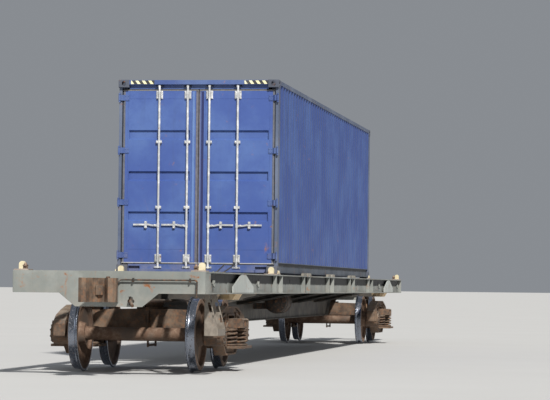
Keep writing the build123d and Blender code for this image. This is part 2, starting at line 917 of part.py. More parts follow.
write("centre_sill", centre_sill())
write("side_sills", *[side_sill(side) for side in sides])
write("sill_gussets", *sill_gussets())
write("lashing_rings", *lashing_rings())
write("end_beams", *[end_beam(end) for end in sides])
write("body_bolsters", *[half for end in sides for half in body_bolster(end)])
write("pivot_plates", *[piece for end in sides for piece in pivot_plates(end)])
write("cross_beams", *cross_beams())
write("light_beams_and_braces", *light_beams(), *end_braces())


# Couplers. The head's outline is (along, across) in coupler units from its pulling face,
# with the large tooth on one side and the small tooth on the other.
coupler_outline = [
    (-104, -13), (-84, -13), (-66, -30), (-38, -41), (-8, -43), (5, -38), (8, -26),
    (-6, -19), (-19, -12), (-22, 4), (-12, 14), (6, 19), (30, 24), (37, 33),
    (30, 43), (-4, 47), (-40, 43), (-66, 26), (-84, 13), (-104, 13),
]


def coupler(end):
    """An automatic coupler: shank, head with large and small tooth, guard arm and lock."""
    z = rail_top + coupler_height
    face = half_length + coupler_reach
    unit = coupler_unit
    points = [(end * (face + along * unit), -end * across * unit) for along, across in coupler_outline]
    plan = make_face(Polyline(*points, close=True))
    plan = fillet(plan.vertices(), 1.6 * unit)
    head = Pos(0, 0, z - coupler_head_depth / 2) * extrude(plan, amount=coupler_head_depth)
    low = (z - coupler_head_depth / 2 - 1, z - shank_height / 2)
    high = (z + shank_height / 2, z + coupler_head_depth / 2 + 1)
    for cut_z in (low, high):
        head = head - block(span(end, face - 105 * unit, face - 84 * unit), (-200, 200), cut_z)
    shank_z = (z - shank_height / 2, z + shank_height / 2)
    shank_x = span(end, half_length - shank_inside, face - 84 * unit)
    shank = block(shank_x, (-shank_width / 2, shank_width / 2), shank_z)
    lock_x = span(end, face - 23 * unit, face - 12 * unit)
    lock = block(lock_x, span(end, -9 * unit, 9 * unit), (z - 12 * unit, z + 12 * unit))
    return joined([head, shank, lock])


write("couplers", *[coupler(end) for end in sides])


def uncoupling_lever(end):
    """The lever across an end beam that lifts the coupler's lock, in two brackets."""
    x = end * (half_length + lever_stand_off)
    side = end
    z = rail_top + coupler_height + lever_lift
    outer = side * (half_width - 130)
    inner = side * (shank_width / 2 + shank_room + 65)
    crank = (x + end * 30, outer, z - lever_drop)
    tip = (x + end * 130, inner, z - 50)
    parts = [bent_rod([crank, (x, outer, z), (x, inner, z), tip], lever_radius, lever_bend)]
    for y in (outer - side * 90, inner + side * 170):
        bracket_x = span(end, half_length, half_length + lever_stand_off + 18)
        parts.append(block(bracket_x, (y - 8, y + 8), (z - 24, z + 24)))
    return joined(parts)


write("uncoupling_levers", *[uncoupling_lever(end) for end in sides])


# Deck fittings
def lock_head(x, y):
    """A twist lock: stem and tapered head standing on the pad."""
    low = container_z + casting_wall + 6
    stem = block((x - 30, x + 30), (y - 25, y + 25), (container_z, low))
    head = block((x - 50, x + 50), (y - 25, y + 25), (low, low + 18))
    tip = Pos(x, y, low + 18 + 14) * Cone(25, 12, 28)
    return joined([stem, head, tip])


def end_stop(x, y, end):
    """A round-topped stop block that stands on a lock pad, with its back at x."""
    half = end_stop_width / 2
    top = container_z + end_stop_height - half
    stop_x = span(end, end * x, end * x + end_stop_length)
    body = block(stop_x, (y - half, y + half), (container_z, top))
    return body + rod((stop_x[0], y, top), (stop_x[1], y, top), half)


def corner_lock(end, side):
    """The pad, outer guide, end stop and twist lock under a loaded container corner."""
    x = end * (half_box - casting_length / 2)
    y = side * (half_box_width - casting_width / 2)
    pad_y = span(side, half_box_width - casting_width - 20, half_width - 18)
    stop_back = half_box + end_stop_gap
    pad_x = span(end, half_box - casting_length - 30, stop_back + end_stop_length + 20)
    pad = block(pad_x, pad_y, (deck_z, container_z))
    guide_y = span(side, half_box_width + guide_gap, half_box_width + guide_gap + 12)
    guide = [(x - 95, container_z), (x + 95, container_z)]
    guide += [(x + 60, container_z + guide_height), (x - 60, container_z + guide_height)]
    return joined([pad, along_y(guide, guide_y), lock_head(x, y), end_stop(end * stop_back, y, end)])


def end_lock(end, side):
    """A twist lock and stop near the frame's corner, for a pair of shorter containers."""
    x = end * (half_length - end_lock_set_back)
    y = side * (half_box_width - casting_width / 2)
    pad = block((x - 130, x + 110), (y - 95, y + 95), (deck_z, container_z))
    return joined([pad, lock_head(x - 60, y - side * 40), end_stop(x, y + side * 20, 1)])


def folded_stop(x, side):
    """A container stop folded down on the deck's edge: a domed arm on a hinge eye."""
    near = half_width - stop_width - 4
    y = span(side, near, half_width - 4)
    half = stop_length / 2
    right = [(half, deck_z), (half - 30, deck_z + stop_height * 0.75), (half - 95, deck_z + stop_height)]
    arch = right + [(-along, z) for along, z in reversed(right)]
    arm = along_y([(x + along, z) for along, z in arch], y)
    eye_z = deck_z + stop_height / 2 + 1
    return arm + rod((x + half - 60, side * (near - 8), eye_z), (x + half - 60, side * near, eye_z), 20)


corners = [(end, side) for end in sides for side in sides]
write("container_locks", *[lock(*corner) for lock in (corner_lock, end_lock) for corner in corners])
stops = []
for station in rib_stations[1:-1]:
    for way in sides:
        for side in sides:
            stops.append(folded_stop(station + way * (stop_length + stop_gap) / 2, side))
write("folding_stops", *stops)


def corner_step(end):
    """A footstep on one corner: two pierced tapered plates and an open tread."""
    side = end
    low = rail_top + step_height
    inner = half_width - step_width
    outer = half_width + 5
    plate = [
        (side * inner, sill_bottom),
        (side * (inner + step_top_width), sill_bottom),
        (side * outer, low + step_depth),
        (side * outer, low),
        (side * inner, low),
    ]
    across = span(end, half_length - step_set_back - step_length, half_length - step_set_back)
    # Slots in a bracket plate along its slanted edge, as (top and foot as shares of the
    # slanted edge's height, width at the top, width at the foot)
    slots = [(0.24, 0.52, 34, 46), (0.60, 0.82, 16, 34)]
    drop = sill_bottom - low - step_depth
    spread = outer - inner - step_top_width
    parts = []
    for x in across:
        shape = along_x(plate, (x - 5, x + 5))
        for top, foot, top_width, foot_width in slots:
            edge = inner + step_top_width - step_rim
            hole = [
                (side * (edge + top * spread), sill_bottom - top * drop),
                (side * (edge + foot * spread), sill_bottom - foot * drop),
                (side * (edge + foot * spread - foot_width), sill_bottom - foot * drop),
                (side * (edge + top * spread - top_width), sill_bottom - top * drop),
            ]
            shape = shape - along_x(hole, (x - 6, x + 6))
        parts.append(shape)
    for y in (inner, outer - 8):
        parts.append(block(across, span(side, y, y + 8), (low, low + step_depth)))
    slats = 5
    for k in range(1, slats + 1):
        y = side * (inner + (outer - inner) * k / (slats + 1))
        parts.append(block(across, (y - 3, y + 3), (low + step_depth - 30, low + step_depth - 6)))
    return joined(parts)


def deck_loop(end):
    """A low grab loop of round bar above the footstep, on the sill's top flange."""
    side = end
    start = end * (half_length - step_set_back + 60)
    y = side * (half_width - 14)
    top = deck_z + loop_height
    foot_near = (start, y, deck_z)
    foot_far = (start - end * 520, y, deck_z)
    peak_near = (start - end * loop_lean, y, top)
    peak_far = (start - end * (loop_lean + loop_run), y, top)
    bars = [rod(foot_near, peak_near, loop_radius), rod(peak_near, peak_far, loop_radius)]
    bars.append(rod(foot_far, peak_far, loop_radius))
    bars += [Pos(*peak) * Sphere(loop_radius) for peak in (peak_near, peak_far)]
    for foot in (foot_near, foot_far):
        bars.append(block((foot[0] - 40, foot[0] + 40), (y - 14, y + 14), (deck_z, deck_z + 10)))
    keep = block(span(end, 0, half_length), (y - 100, y + 100), (deck_z, top + 100))
    return joined(bars) & keep


write("steps_and_loops", *[piece(end) for piece in (corner_step, deck_loop) for end in sides])


# Brake gear under the deck
def brake_pipe():
    """The brake pipe from end to end, crossing the centre sill near the middle."""
    reach = half_length + pipe_end
    route = [
        (-reach, -pipe_y, pipe_z),
        (pipe_cross_x, -pipe_y, pipe_z),
        (pipe_cross_x, pipe_y, pipe_z),
        (reach, pipe_y, pipe_z),
    ]
    return bent_rod(route, pipe_radius, pipe_bend)


def end_cock(end):
    """The cock on the pipe's end, with its handle and the bare outlet."""
    y = end * pipe_y
    x = half_length + pipe_end
    body = rod((end * x, y, pipe_z), (end * (x + 70), y, pipe_z), 34)
    plug = rod((end * (x + 35), y, pipe_z - 48), (end * (x + 35), y, pipe_z + 52), 24)
    handle = block(span(end, x + 28, x + 130), (y - 8, y + 8), (pipe_z + 52, pipe_z + 62))
    outlet = rod((end * (x + 60), y, pipe_z), (end * (x + 150), y + end * 45, pipe_z - 55), 22)
    return joined([body, plug, handle, outlet])


def brake_cylinder():
    """The brake cylinder on its bracket beside the centre sill, with its push rod."""
    y = cylinder_y
    z = rigging_z
    half = cylinder_length / 2
    back = cylinder_x - half
    front = cylinder_x + half
    parts = [rod((back, y, z), (front, y, z), cylinder_radius)]
    parts.append(rod((back - 32, y, z), (back, y, z), cylinder_radius + 18))
    parts.append(rod((front, y, z), (front + 32, y, z), cylinder_radius + 18))
    parts.append(rod((front + 32, y, z), (front + 100, y, z), 60))
    parts.append(rod((front + 100, y, z), (push_lever_x - 60, y, z - 5), push_rod_radius))
    eye = (z - 12, z)
    parts.append(block((push_lever_x - 66, push_lever_x + 30), (y - 30, y + 30), eye))
    parts.append(block((back_lever_x - 30, back - 32), (y - 30, y + 30), eye))
    bracket_z = (z - 120, z - 20)
    parts.append(block((cylinder_x - 160, cylinder_x + 160), (centre_web_outer, y), bracket_z))
    whole = joined(parts)
    for x in (push_lever_x, back_lever_x):
        whole = whole - rod((x, y, z - 30), (x, y, z + 30), pin_radius + bearing_gap)
    return whole


def air_reservoir():
    """The air reservoir with domed ends, on two brackets beside the centre sill."""
    y = -reservoir_y
    z = rigging_z
    half = reservoir_length / 2
    dome = 70
    edge = reservoir_radius
    profile = [(-half, 0), (-half, edge * 0.9), (-half + dome * 0.4, edge), (half - dome * 0.4, edge)]
    profile += [(half, edge * 0.9), (half + dome * 0.6, edge * 0.6), (half + dome, 0)]
    profile = [(-half - dome, 0), (-half - dome * 0.6, edge * 0.6)] + profile[1:]
    tank = revolve(make_face(Polyline(*[(x, r, 0) for x, r in profile], close=True)), Axis.X)
    parts = [Pos(reservoir_x, y, z) * tank]
    for way in sides:
        x = reservoir_x + way * half * 0.6
        parts.append(block((x - 30, x + 30), (y, -centre_web_outer), (z - 120, z - 20)))
    return joined(parts)


def control_valve():
    """The air brake's control valve: a three-part casting on a bracket."""
    x, y, z = valve_x, valve_y, rigging_z + 40
    parts = [block((x - 90, x + 90), (y - 80, y + 80), (z - 110, z + 110))]
    parts.append(rod((x - 90, y, z), (x - 210, y, z), 95))
    parts.append(rod((x + 90, y, z), (x + 190, y, z), 85))
    parts.append(block((x - 50, x + 50), (centre_web_outer, y), (z - 50, z + 50)))
    branch = (x + 190, y, pipe_z)
    parts.append(rod(branch, (pipe_cross_x - seat_gap - pipe_radius, y, pipe_z), pipe_radius * 0.7))
    return joined(parts)


def pull_rod_point(x):
    """The place of the long pull rod where it passes x."""
    end = 1 if x > 0 else -1
    start = push_lever_x if end > 0 else back_lever_x
    far_x, far_y, far_z = pull_rod_end
    share = (x - start) / (end * far_x - start)
    return lever_rod_y + share * (far_y - lever_rod_y), lever_z + share * (far_z - lever_z)


def brake_rods():
    """The two levers at the brake cylinder, their tie rod and the long pull rods."""
    low = rigging_z + seat_gap
    high = low + lever_thickness
    far_x, far_y, far_z = pull_rod_end
    parts = []
    for end, x in ((1, push_lever_x), (-1, back_lever_x)):
        lever = [
            (x - 28, cylinder_y - 34),
            (x + 28, cylinder_y - 34),
            (x + 44, lever_tie_y),
            (x + 24, lever_rod_y + 30),
            (x - 24, lever_rod_y + 30),
            (x - 44, lever_tie_y),
        ]
        parts.append(along_z(lever, (low, high)))
        parts.append(rod((x, cylinder_y, rigging_z - 20), (x, cylinder_y, high), pin_radius))
        parts.append(rod((x, lever_rod_y, lever_z), (end * far_x, far_y, far_z), pull_rod_radius))
        clevis_x = span(end, far_x - 20, far_x + 80)
        clevis = block(clevis_x, (far_y - 26, far_y + 26), (far_z - 26, far_z + 26))
        jaw = block(span(end, far_x + 20, far_x + 81), (far_y - 12, far_y + 12), (far_z - 27, far_z + 27))
        parts.append(clevis - jaw)
    parts.append(rod((back_lever_x, lever_tie_y, lever_z), (push_lever_x, lever_tie_y, lever_z), 14))
    return joined(parts)


def rod_hangers():
    """Straps under the cross beams that carry the long pull rods."""
    pieces = []
    for station in (rib_stations[0], rib_stations[1], rib_stations[3], rib_stations[4]):
        way = 1 if station > 0 else -1
        x = station - way * rib_pair_gap / 2
        y, z = pull_rod_point(x)
        inner = pull_rod_radius + 10
        outer = inner + hanger_strap
        floor_z = z - pull_rod_radius - 2 * seat_gap
        legs = []
        for near, far in ((-outer, -inner), (inner, outer)):
            leg = [
                (y + near, floor_z - hanger_strap),
                (y + far, floor_z - hanger_strap),
                (y + far, cross_beam_underside(y + far)),
                (y + near, cross_beam_underside(y + near)),
            ]
            legs.append(along_x(leg, (x - hanger_width / 2, x + hanger_width / 2)))
        base_x = (x - hanger_width / 2, x + hanger_width / 2)
        legs.append(block(base_x, (y - outer, y + outer), (floor_z - hanger_strap, floor_z)))
        pieces.append(joined(legs))
    return pieces


def hand_brake():
    """The parking brake's hand wheel under the side sill, with its shaft and gear box."""
    x = hand_wheel_x
    z = hand_wheel_z
    wheel_y = half_width - 60
    plate_y = sill_web_inner - 70
    box_y = half_width - 460
    wheel_at = Pos(x, wheel_y, z) * Rot(90, 0, 0)
    parts = [wheel_at * Torus(hand_wheel_radius, 12), wheel_at * Cylinder(32, 44)]
    for k in range(4):
        spoke = Rot(0, 45 + 90 * k, 0) * rod((20, 0, 0), (hand_wheel_radius, 0, 0), 8)
        parts.append(Pos(x, wheel_y, z) * spoke)
    parts.append(rod((x, wheel_y, z), (x, box_y, z), 16))
    bracket = [(x - 70, sill_bottom), (x + 70, sill_bottom), (x + 40, z - 40), (x - 40, z - 40)]
    parts.append(along_y(bracket, (plate_y, plate_y + 12)))
    parts.append(block((x - 70, x + 70), (box_y - 60, box_y), (z - 60, z + 60)))
    foot = (x - light_beam_plate / 2, x - light_beam_plate / 2 + light_beam_width)
    parts.append(block(foot, (box_y - 36, box_y - 24), (z + 60, deck_z - light_beam_depth)))
    return joined(parts)


write("brake_pipe", joined([brake_pipe()] + [end_cock(end) for end in sides]))
write("brake_cylinder", brake_cylinder())
write("air_reservoir", air_reservoir())
write("control_valve", control_valve())
write("brake_rods", brake_rods(), *rod_hangers())
write("hand_brake", hand_brake())


# Container
inner_post = half_box - casting_length
post_low = container_z + casting_height
post_high = container_top - casting_height
rail_outer = half_box_width - rail_set_in
rail_web_inner = rail_outer - bottom_rail_recess - rail_plate
box_top = container_top - rail_drop
beam_half = half_box_width - casting_width
wall_low = container_z + bottom_rail_lift + bottom_rail_height
wall_high = box_top - top_rail
wall_face = rail_outer - sheet


def casting(end, side, level):
    """A corner casting, hollow, with its slots outward, endward and up or down."""
    z0 = container_z + level * (container_height - casting_height)
    x = span(end, inner_post, half_box)
    y = span(side, beam_half, half_box_width)
    mid_x = (x[0] + x[1]) / 2
    mid_y = (y[0] + y[1]) / 2
    mid_z = z0 + casting_height / 2
    wall = casting_wall
    body = block(x, y, (z0, z0 + casting_height))
    body = fillet(body.edges(), casting_corner)
    room_z = (z0 + wall, z0 + casting_height - wall)
    body = body - block((x[0] + wall, x[1] - wall), (y[0] + wall, y[1] - wall), room_z)
    up = 2 * level - 1
    # Each slot's middle on its wall's outer face, the way it faces, its long way and its size
    slots = [
        ((end * half_box, mid_y, mid_z), (end, 0, 0), (0, 0, 1), end_slot),
        ((mid_x, side * half_box_width, mid_z), (0, side, 0), (1, 0, 0), side_slot),
        ((mid_x, mid_y, mid_z + up * casting_height / 2), (0, 0, up), (1, 0, 0), top_slot),
    ]
    for place, facing, long_way, size in slots:
        opening = Plane(origin=place, x_dir=long_way, z_dir=facing) * SlotOverall(*size)
        body = body - extrude(opening, amount=wall + 1, dir=Vector(*facing) * -1)
    return body


def corner_post(end, side):
    """A corner post between its castings; the door end's posts are narrow in front."""
    y = span(side, rail_outer - post_face_width, rail_outer)
    x_front = end * (half_box - beam_set_in)
    if end < 0:
        x_front = -half_box + door_post_recess
    x = tuple(sorted((x_front, end * inner_post)))
    outer = block(x, y, (post_low, post_high))
    inner_y = span(side, rail_outer - post_width, rail_outer - post_face_width)
    inner_x = x
    if end < 0:
        inner_x = (-half_box + door_recess + door_thickness + leaf_gap, -inner_post)
    return outer + block(inner_x, inner_y, (post_low, post_high))


def bottom_rail(side):
    """The bottom rail of one side, a channel that opens outward."""
    low = container_z + bottom_rail_lift
    high = low + bottom_rail_height
    x = (-inner_post, inner_post)
    web = block(x, span(side, rail_web_inner, rail_web_inner + rail_plate), (low, high))
    foot = block(x, span(side, rail_web_inner, rail_outer), (low, low + rail_plate))
    seat = block(x, span(side, rail_outer - bottom_rail_lip, rail_outer), (high - rail_plate, high))
    return joined([web, foot, seat])


def top_rail_bar(side):
    """The square top rail of one side."""
    across = span(side, rail_outer - top_rail, rail_outer)
    return block((-inner_post, inner_post), across, (box_top - top_rail, box_top))


def corrugated(start, end, pitch, depth, thickness):
    """The outline (along, across) of a trapezoid-corrugated sheet that fills start to end."""
    count = floor((end - start) / pitch)
    margin = (end - start - count * pitch) / 2
    crest = pitch * 0.26
    slope = pitch * 0.245
    trough = pitch - crest - 2 * slope
    shift = thickness * 0.42
    outer = [(start, 0)]
    inner = [(start, thickness)]
    for k in range(count):
        a = start + margin + k * pitch + crest / 2
        b = a + slope
        c = b + trough
        outer += [(a, 0), (b, depth), (c, depth), (c + slope, 0)]
        a, c = a - shift, c + shift
        b = a + slope
        inner += [(a, thickness), (b, depth + thickness), (c, depth + thickness), (c + slope, thickness)]
    outer += [(end, 0)]
    inner += [(end, thickness)]
    return outer + list(reversed(inner))


def side_wall(side):
    """A side wall of vertical corrugations between the rails."""
    outline = corrugated(-inner_post, inner_post, wall_pitch, wall_corrugation_depth, sheet)
    return along_z([(x, side * (wall_face - depth)) for x, depth in outline], (wall_low, wall_high))


def roof():
    """The roof sheet with shallow corrugations across it."""
    z_out = box_top - roof_drop
    outline = corrugated(-inner_post, inner_post, roof_pitch, roof_corrugation_depth, sheet)
    inner = rail_outer - top_rail
    return along_y([(x, z_out - depth) for x, depth in outline], (-inner, inner))


def front_wall():
    """The closed end: corrugated sheet between the posts, top and bottom beams, top plate."""
    across = rail_outer - post_width
    outline = corrugated(-across, across, front_pitch, front_corrugation_depth, sheet)
    face = half_box - front_wall_set_in
    wall = along_z([(face - depth, y) for y, depth in outline], (post_low, post_high))
    x = (half_box - front_beam, half_box - beam_set_in)
    low = block(x, (-beam_half, beam_half), (container_z + bottom_rail_lift, post_low))
    high = block(x, (-beam_half, beam_half), (post_high, box_top))
    plate = block((inner_post, x[0]), (-beam_half, beam_half), (box_top - rail_plate, box_top))
    return joined([wall, low, high, plate])


def door_frame():
    """The header and the sill that close the doorway, between the castings."""
    across = (-beam_half, beam_half)
    x = (-half_box + door_recess, -inner_post)
    lip_x = (-half_box + door_lip, -half_box + door_recess)
    header_low = box_top - header_height
    header = block(x, across, (header_low, box_top))
    header = header + block(lip_x, across, (header_low + header_lip, box_top))
    sill_low = container_z + bottom_rail_lift
    sill = block(x, across, (sill_low, container_z + door_sill_height))
    sill = sill + block(lip_x, across, (sill_low, container_z + sill_lip))
    for side in sides:
        notch_x = (lip_x[0] - 1, x[0] + sill_notch_depth)
        notch_z = (sill_low - 1, container_z + sill_notch_height)
        sill = sill - block(notch_x, span(side, beam_half - sill_notch_width, beam_half - 6), notch_z)
    return [header, sill]


def floor_deck():
    """The plank floor."""
    z = (wall_low - floor_drop - floor_thickness, wall_low - floor_drop)
    inner = rail_outer - bottom_rail_lip - 4
    main = block((-inner_post + 2, inner_post - 2), (-inner, inner), z)
    narrow = rail_outer - post_width - 4
    tail = block((inner_post - 2, half_box - front_beam - 6), (-narrow, narrow), z)
    return main + tail


def floor_beams():
    """The channel cross members under the floor."""
    inner = rail_web_inner
    high = wall_low - floor_drop - floor_thickness
    low = container_z + bottom_rail_lift + rail_plate
    count = floor((container_length - 2 * floor_beam_end) / floor_beam_pitch)
    start = -count * floor_beam_pitch / 2
    half = floor_beam_width / 2
    pieces = []
    for k in range(count + 1):
        x = start + k * floor_beam_pitch
        web = block((x - half, x - half + rail_plate), (-inner, inner), (low, high))
        foot = block((x - half, x + half), (-inner, inner), (low, low + rail_plate))
        top = block((x - half, x + half), (-inner, inner), (high - rail_plate, high))
        pieces.append(joined([web, foot, top]))
    return pieces


write("corner_castings", *[casting(end, side, level) for end in sides for side in sides for level in (0, 1)])
write("corner_posts", *[corner_post(end, side) for end in sides for side in sides])
write("bottom_rails", *[bottom_rail(side) for side in sides])
write("top_rails", *[top_rail_bar(side) for side in sides])
write("wall_left", side_wall(1))
write("wall_right", side_wall(-1))
write("roof", roof())
write("front_wall", front_wall())
write("door_frame", *door_frame())
write("floor_deck", floor_deck())
write("floor_beams", *floor_beams())

# Doors
door_low = container_z + door_sill_height + leaf_gap
door_high = box_top - header_height - leaf_gap
door_height = door_high - door_low
door_face = -half_box + door_recess
leaf_outer = rail_outer - post_face_width - leaf_gap
pin_x = -half_box + hinge_pin_recess
pin_y = half_box_width - hinge_pin_side
bar_x = door_face - lock_bar_stand_off
# Heights on the leaf as shares of its own height
groove_heights = (0.27, 0.503, 0.741)
hinge_heights = (0.045, 0.35, 0.65, 0.955)
guide_heights = (0.323, 0.7)


def door_leaf(side):
    """A door leaf: its frame and a panel with three pressed-in grooves, hollow behind."""
    y = span(side, leaf_inner, leaf_outer)
    leaf = block((door_face, door_face + door_thickness), y, (door_low, door_high))
    cut_y = span(side, leaf_inner + leaf_stile, leaf_outer - leaf_stile)
    half = groove_height / 2
    deep = door_face + groove_depth
    for share in groove_heights:
        z = door_low + share * door_height
        groove = [
            (door_face - 1, z - half),
            (door_face - 1, z + half),
            (deep, z + half - groove_slope),
            (deep, z - half + groove_slope),
        ]
        leaf = leaf - along_y(groove, cut_y)
    edges = (0.0,) + groove_heights + (1.0,)
    for below, above in zip(edges, edges[1:]):
        low = max(door_low + leaf_rail, door_low + below * door_height + half + 3)
        high = min(door_high - leaf_rail, door_low + above * door_height - half - 3)
        back_x = (door_face + leaf_sheet, door_face + door_thickness + 1)
        leaf = leaf - block(back_x, cut_y, (low, high))
    return leaf


def door_seal(side):
    """The rubber seal round a leaf's edges, with a wide lip at the middle of the doorway."""
    x = (door_face + 6, door_face + 40)
    across = span(side, leaf_centre_gap / 2, leaf_outer + seal_lip)
    ring = block(x, across, (door_low - seal_lip, door_high + seal_lip))
    return ring - block((x[0] - 1, x[1] + 1), span(side, leaf_inner, leaf_outer), (door_low, door_high))


def hinges(side):
    """The hinge blades of a leaf, from its edge to the pins' eyes."""
    pieces = []
    near = pin_x + 10
    arm = [
        (pin_x - 8, pin_y - 4),
        (pin_x - 8, pin_y - 13),
        (near, pin_y - 28),
        (near, leaf_outer + 5),
        (door_face - 10, leaf_outer - 26),
        (door_face - 10, leaf_outer - 90),
        (door_face, leaf_outer - 90),
        (door_face, leaf_outer - 14),
        (near + 12, leaf_outer + 10),
        (near + 12, pin_y - 20),
        (pin_x + 8, pin_y),
    ]
    for share in hinge_heights:
        z = door_low + share * door_height
        low = z - hinge_height / 2
        high = z + hinge_height / 2
        eye = rod((pin_x, side * pin_y, low), (pin_x, side * pin_y, high), hinge_eye_radius)
        blade = along_z([(x, side * y) for x, y in arm], (low, high))
        bore = hinge_pin_radius + hinge_clearance
        pin = rod((pin_x, side * pin_y, low - 1), (pin_x, side * pin_y, high + 1), bore)
        pieces.append((eye + blade) - pin)
    return pieces


def hinge_pins(side):
    """The fixed pins with the lugs that carry them on the post."""
    pieces = []
    front = -half_box + door_post_recess
    for share in hinge_heights:
        z = door_low + share * door_height
        near = hinge_height / 2 + hinge_lug_gap
        far = near + hinge_lug_height
        parts = [rod((pin_x, side * pin_y, z - far), (pin_x, side * pin_y, z + far), hinge_pin_radius)]
        for lug_z in ((z - far, z - near), (z + near, z + far)):
            parts.append(block((pin_x - 4, front), span(side, pin_y - 16, pin_y + 5), lug_z))
            parts.append(rod((pin_x, side * pin_y, lug_z[0]), (pin_x, side * pin_y, lug_z[1]), 12))
        pieces.append(joined(parts))
    return pieces


def lock_bars(side):
    """The lock bars of a leaf with their cams, brackets, guides, handles and catches."""
    bars = []
    for place in lock_bar_places:
        y = side * place
        parts = [rod((bar_x, y, door_low - bar_reach), (bar_x, y, door_high + bar_reach), lock_bar_radius)]
        for z in (door_low - bar_reach + 15, door_high + bar_reach - 15):
            parts.append(block((bar_x - 12, bar_x + 14), (y - cam_half, y + cam_half), (z - 12, z + 12)))
        for z in (door_low + bracket_height / 2 + 12, door_high - bracket_height / 2 - 12):
            tall = (z - bracket_height / 2, z + bracket_height / 2)
            parts.append(block((bar_x + 8, door_face), (y - 50, y + 50), tall))
            for way in sides:
                cheek = span(1, y + way * 20, y + way * 34)
                parts.append(block((bar_x - 16, bar_x + 9), cheek, (tall[0] + 8, tall[1] - 8)))
        for share in guide_heights:
            z = door_low + share * door_height
            parts.append(block((bar_x - 14, door_face), (y - 42, y + 42), (z - 20, z + 20)))
        z = door_low + handle_share * door_height
        parts.append(rod((bar_x, y, z - 34), (bar_x, y, z + 34), lock_bar_radius + 5))
        # The handle's outline, as (distance from the bar, lower edge, upper edge)
        grip = [(0, -18, 14), (90, -14, 12), (150, -2, 24), (handle_length, -4, 22)]
        lower = [(y + side * out, z + below) for out, below, above in grip]
        upper = [(y + side * out, z + above) for out, below, above in reversed(grip)]
        parts.append(along_x(lower + upper, (bar_x - 6, bar_x + 6)))
        catch_y = y + side * handle_length / 2
        for low, high in ((z - 42, z - 3), (z + 23, z + 62)):
            parts.append(block((bar_x - 12, door_face), (catch_y - 18, catch_y + 18), (low, high)))
        parts.append(block((bar_x + 5, door_face), (catch_y - 18, catch_y + 18), (z - 4, z + 24)))
        bars.append(joined(parts))
    return bars


def lock_keepers():
    """The keepers on header and sill, a cheek either side of each lock bar's cam."""
    pieces = []
    for side in sides:
        for place in lock_bar_places:
            for z in (door_low - bar_reach + 15, door_high + bar_reach - 15):
                for way in sides:
                    near = side * place + way * (cam_half + keeper_gap)
                    cheek = span(1, near, near + way * 12)
                    pieces.append(block((bar_x - 10, door_face), cheek, (z - 15, z + 15)))
    return pieces


for side, word in ((1, "left"), (-1, "right")):
    write(f"door_{word}", door_leaf(side))
    write(f"door_seals_{word}", door_seal(side))
    write(f"door_hinges_{word}", *hinges(side))
    write(f"lock_bars_{word}", *lock_bars(side))
write("hinge_pins", *[piece for side in sides for piece in hinge_pins(side)])
write("lock_keepers", *lock_keepers())
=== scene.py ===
import bmesh
import bpy
from math import cos, pi, radians, sin
from mathutils import Matrix, Vector


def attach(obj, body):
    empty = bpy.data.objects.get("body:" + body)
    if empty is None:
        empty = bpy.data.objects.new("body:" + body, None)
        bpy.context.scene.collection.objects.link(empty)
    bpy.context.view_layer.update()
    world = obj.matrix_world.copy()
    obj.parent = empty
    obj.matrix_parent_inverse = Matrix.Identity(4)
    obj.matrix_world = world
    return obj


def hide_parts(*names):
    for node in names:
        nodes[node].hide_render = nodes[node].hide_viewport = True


# Looks of the container flatcar: finishes for the CAD nodes, and the small parts
# that the CAD leaves out. Metres. -X is the doors' end, -Y the long side in view.
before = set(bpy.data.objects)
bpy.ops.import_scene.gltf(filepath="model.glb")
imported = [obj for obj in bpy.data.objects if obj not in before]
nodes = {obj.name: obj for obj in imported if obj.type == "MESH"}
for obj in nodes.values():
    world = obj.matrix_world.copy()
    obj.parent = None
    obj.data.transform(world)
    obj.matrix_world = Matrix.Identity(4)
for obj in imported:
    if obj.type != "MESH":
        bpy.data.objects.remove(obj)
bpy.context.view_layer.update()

# Levels and places taken from the CAD
AXLE_Z = 0.5065
PIVOT_X = 9.4
WHEELBASE = 1.85
JOURNAL_Y = 1.018
SPRING_LOW, SPRING_HIGH = 0.3468, 0.5882
SPRING_PITCH = 0.205
SILL_LOW = 1.048
DECK_Z = 1.328
HALF_LENGTH = 12.2
HALF_WIDTH = 1.265
SILL_WEB_Y = 1.203
DOOR_X = -6.026
DOOR_LOW, DOOR_HIGH = 1.488, 4.086
HEADER_X = -6.082
BAR_X = DOOR_X - 0.025
BAR_PLACES = (0.165, 0.597)
RIB_STATIONS = [3.05 * k for k in (-2, -1, 0, 1, 2)]

SIDES = (-1, 1)
BOGIES = (("front", -1), ("rear", 1))
LEAVES = (("left", 1), ("right", -1))
AXLE_PLACES = [end * PIVOT_X + way * WHEELBASE / 2 for end in SIDES for way in SIDES]
UP = (0, 0, 1)
DOWN = (0, 0, -1)
TO_DOORS_END = (-1, 0, 0)


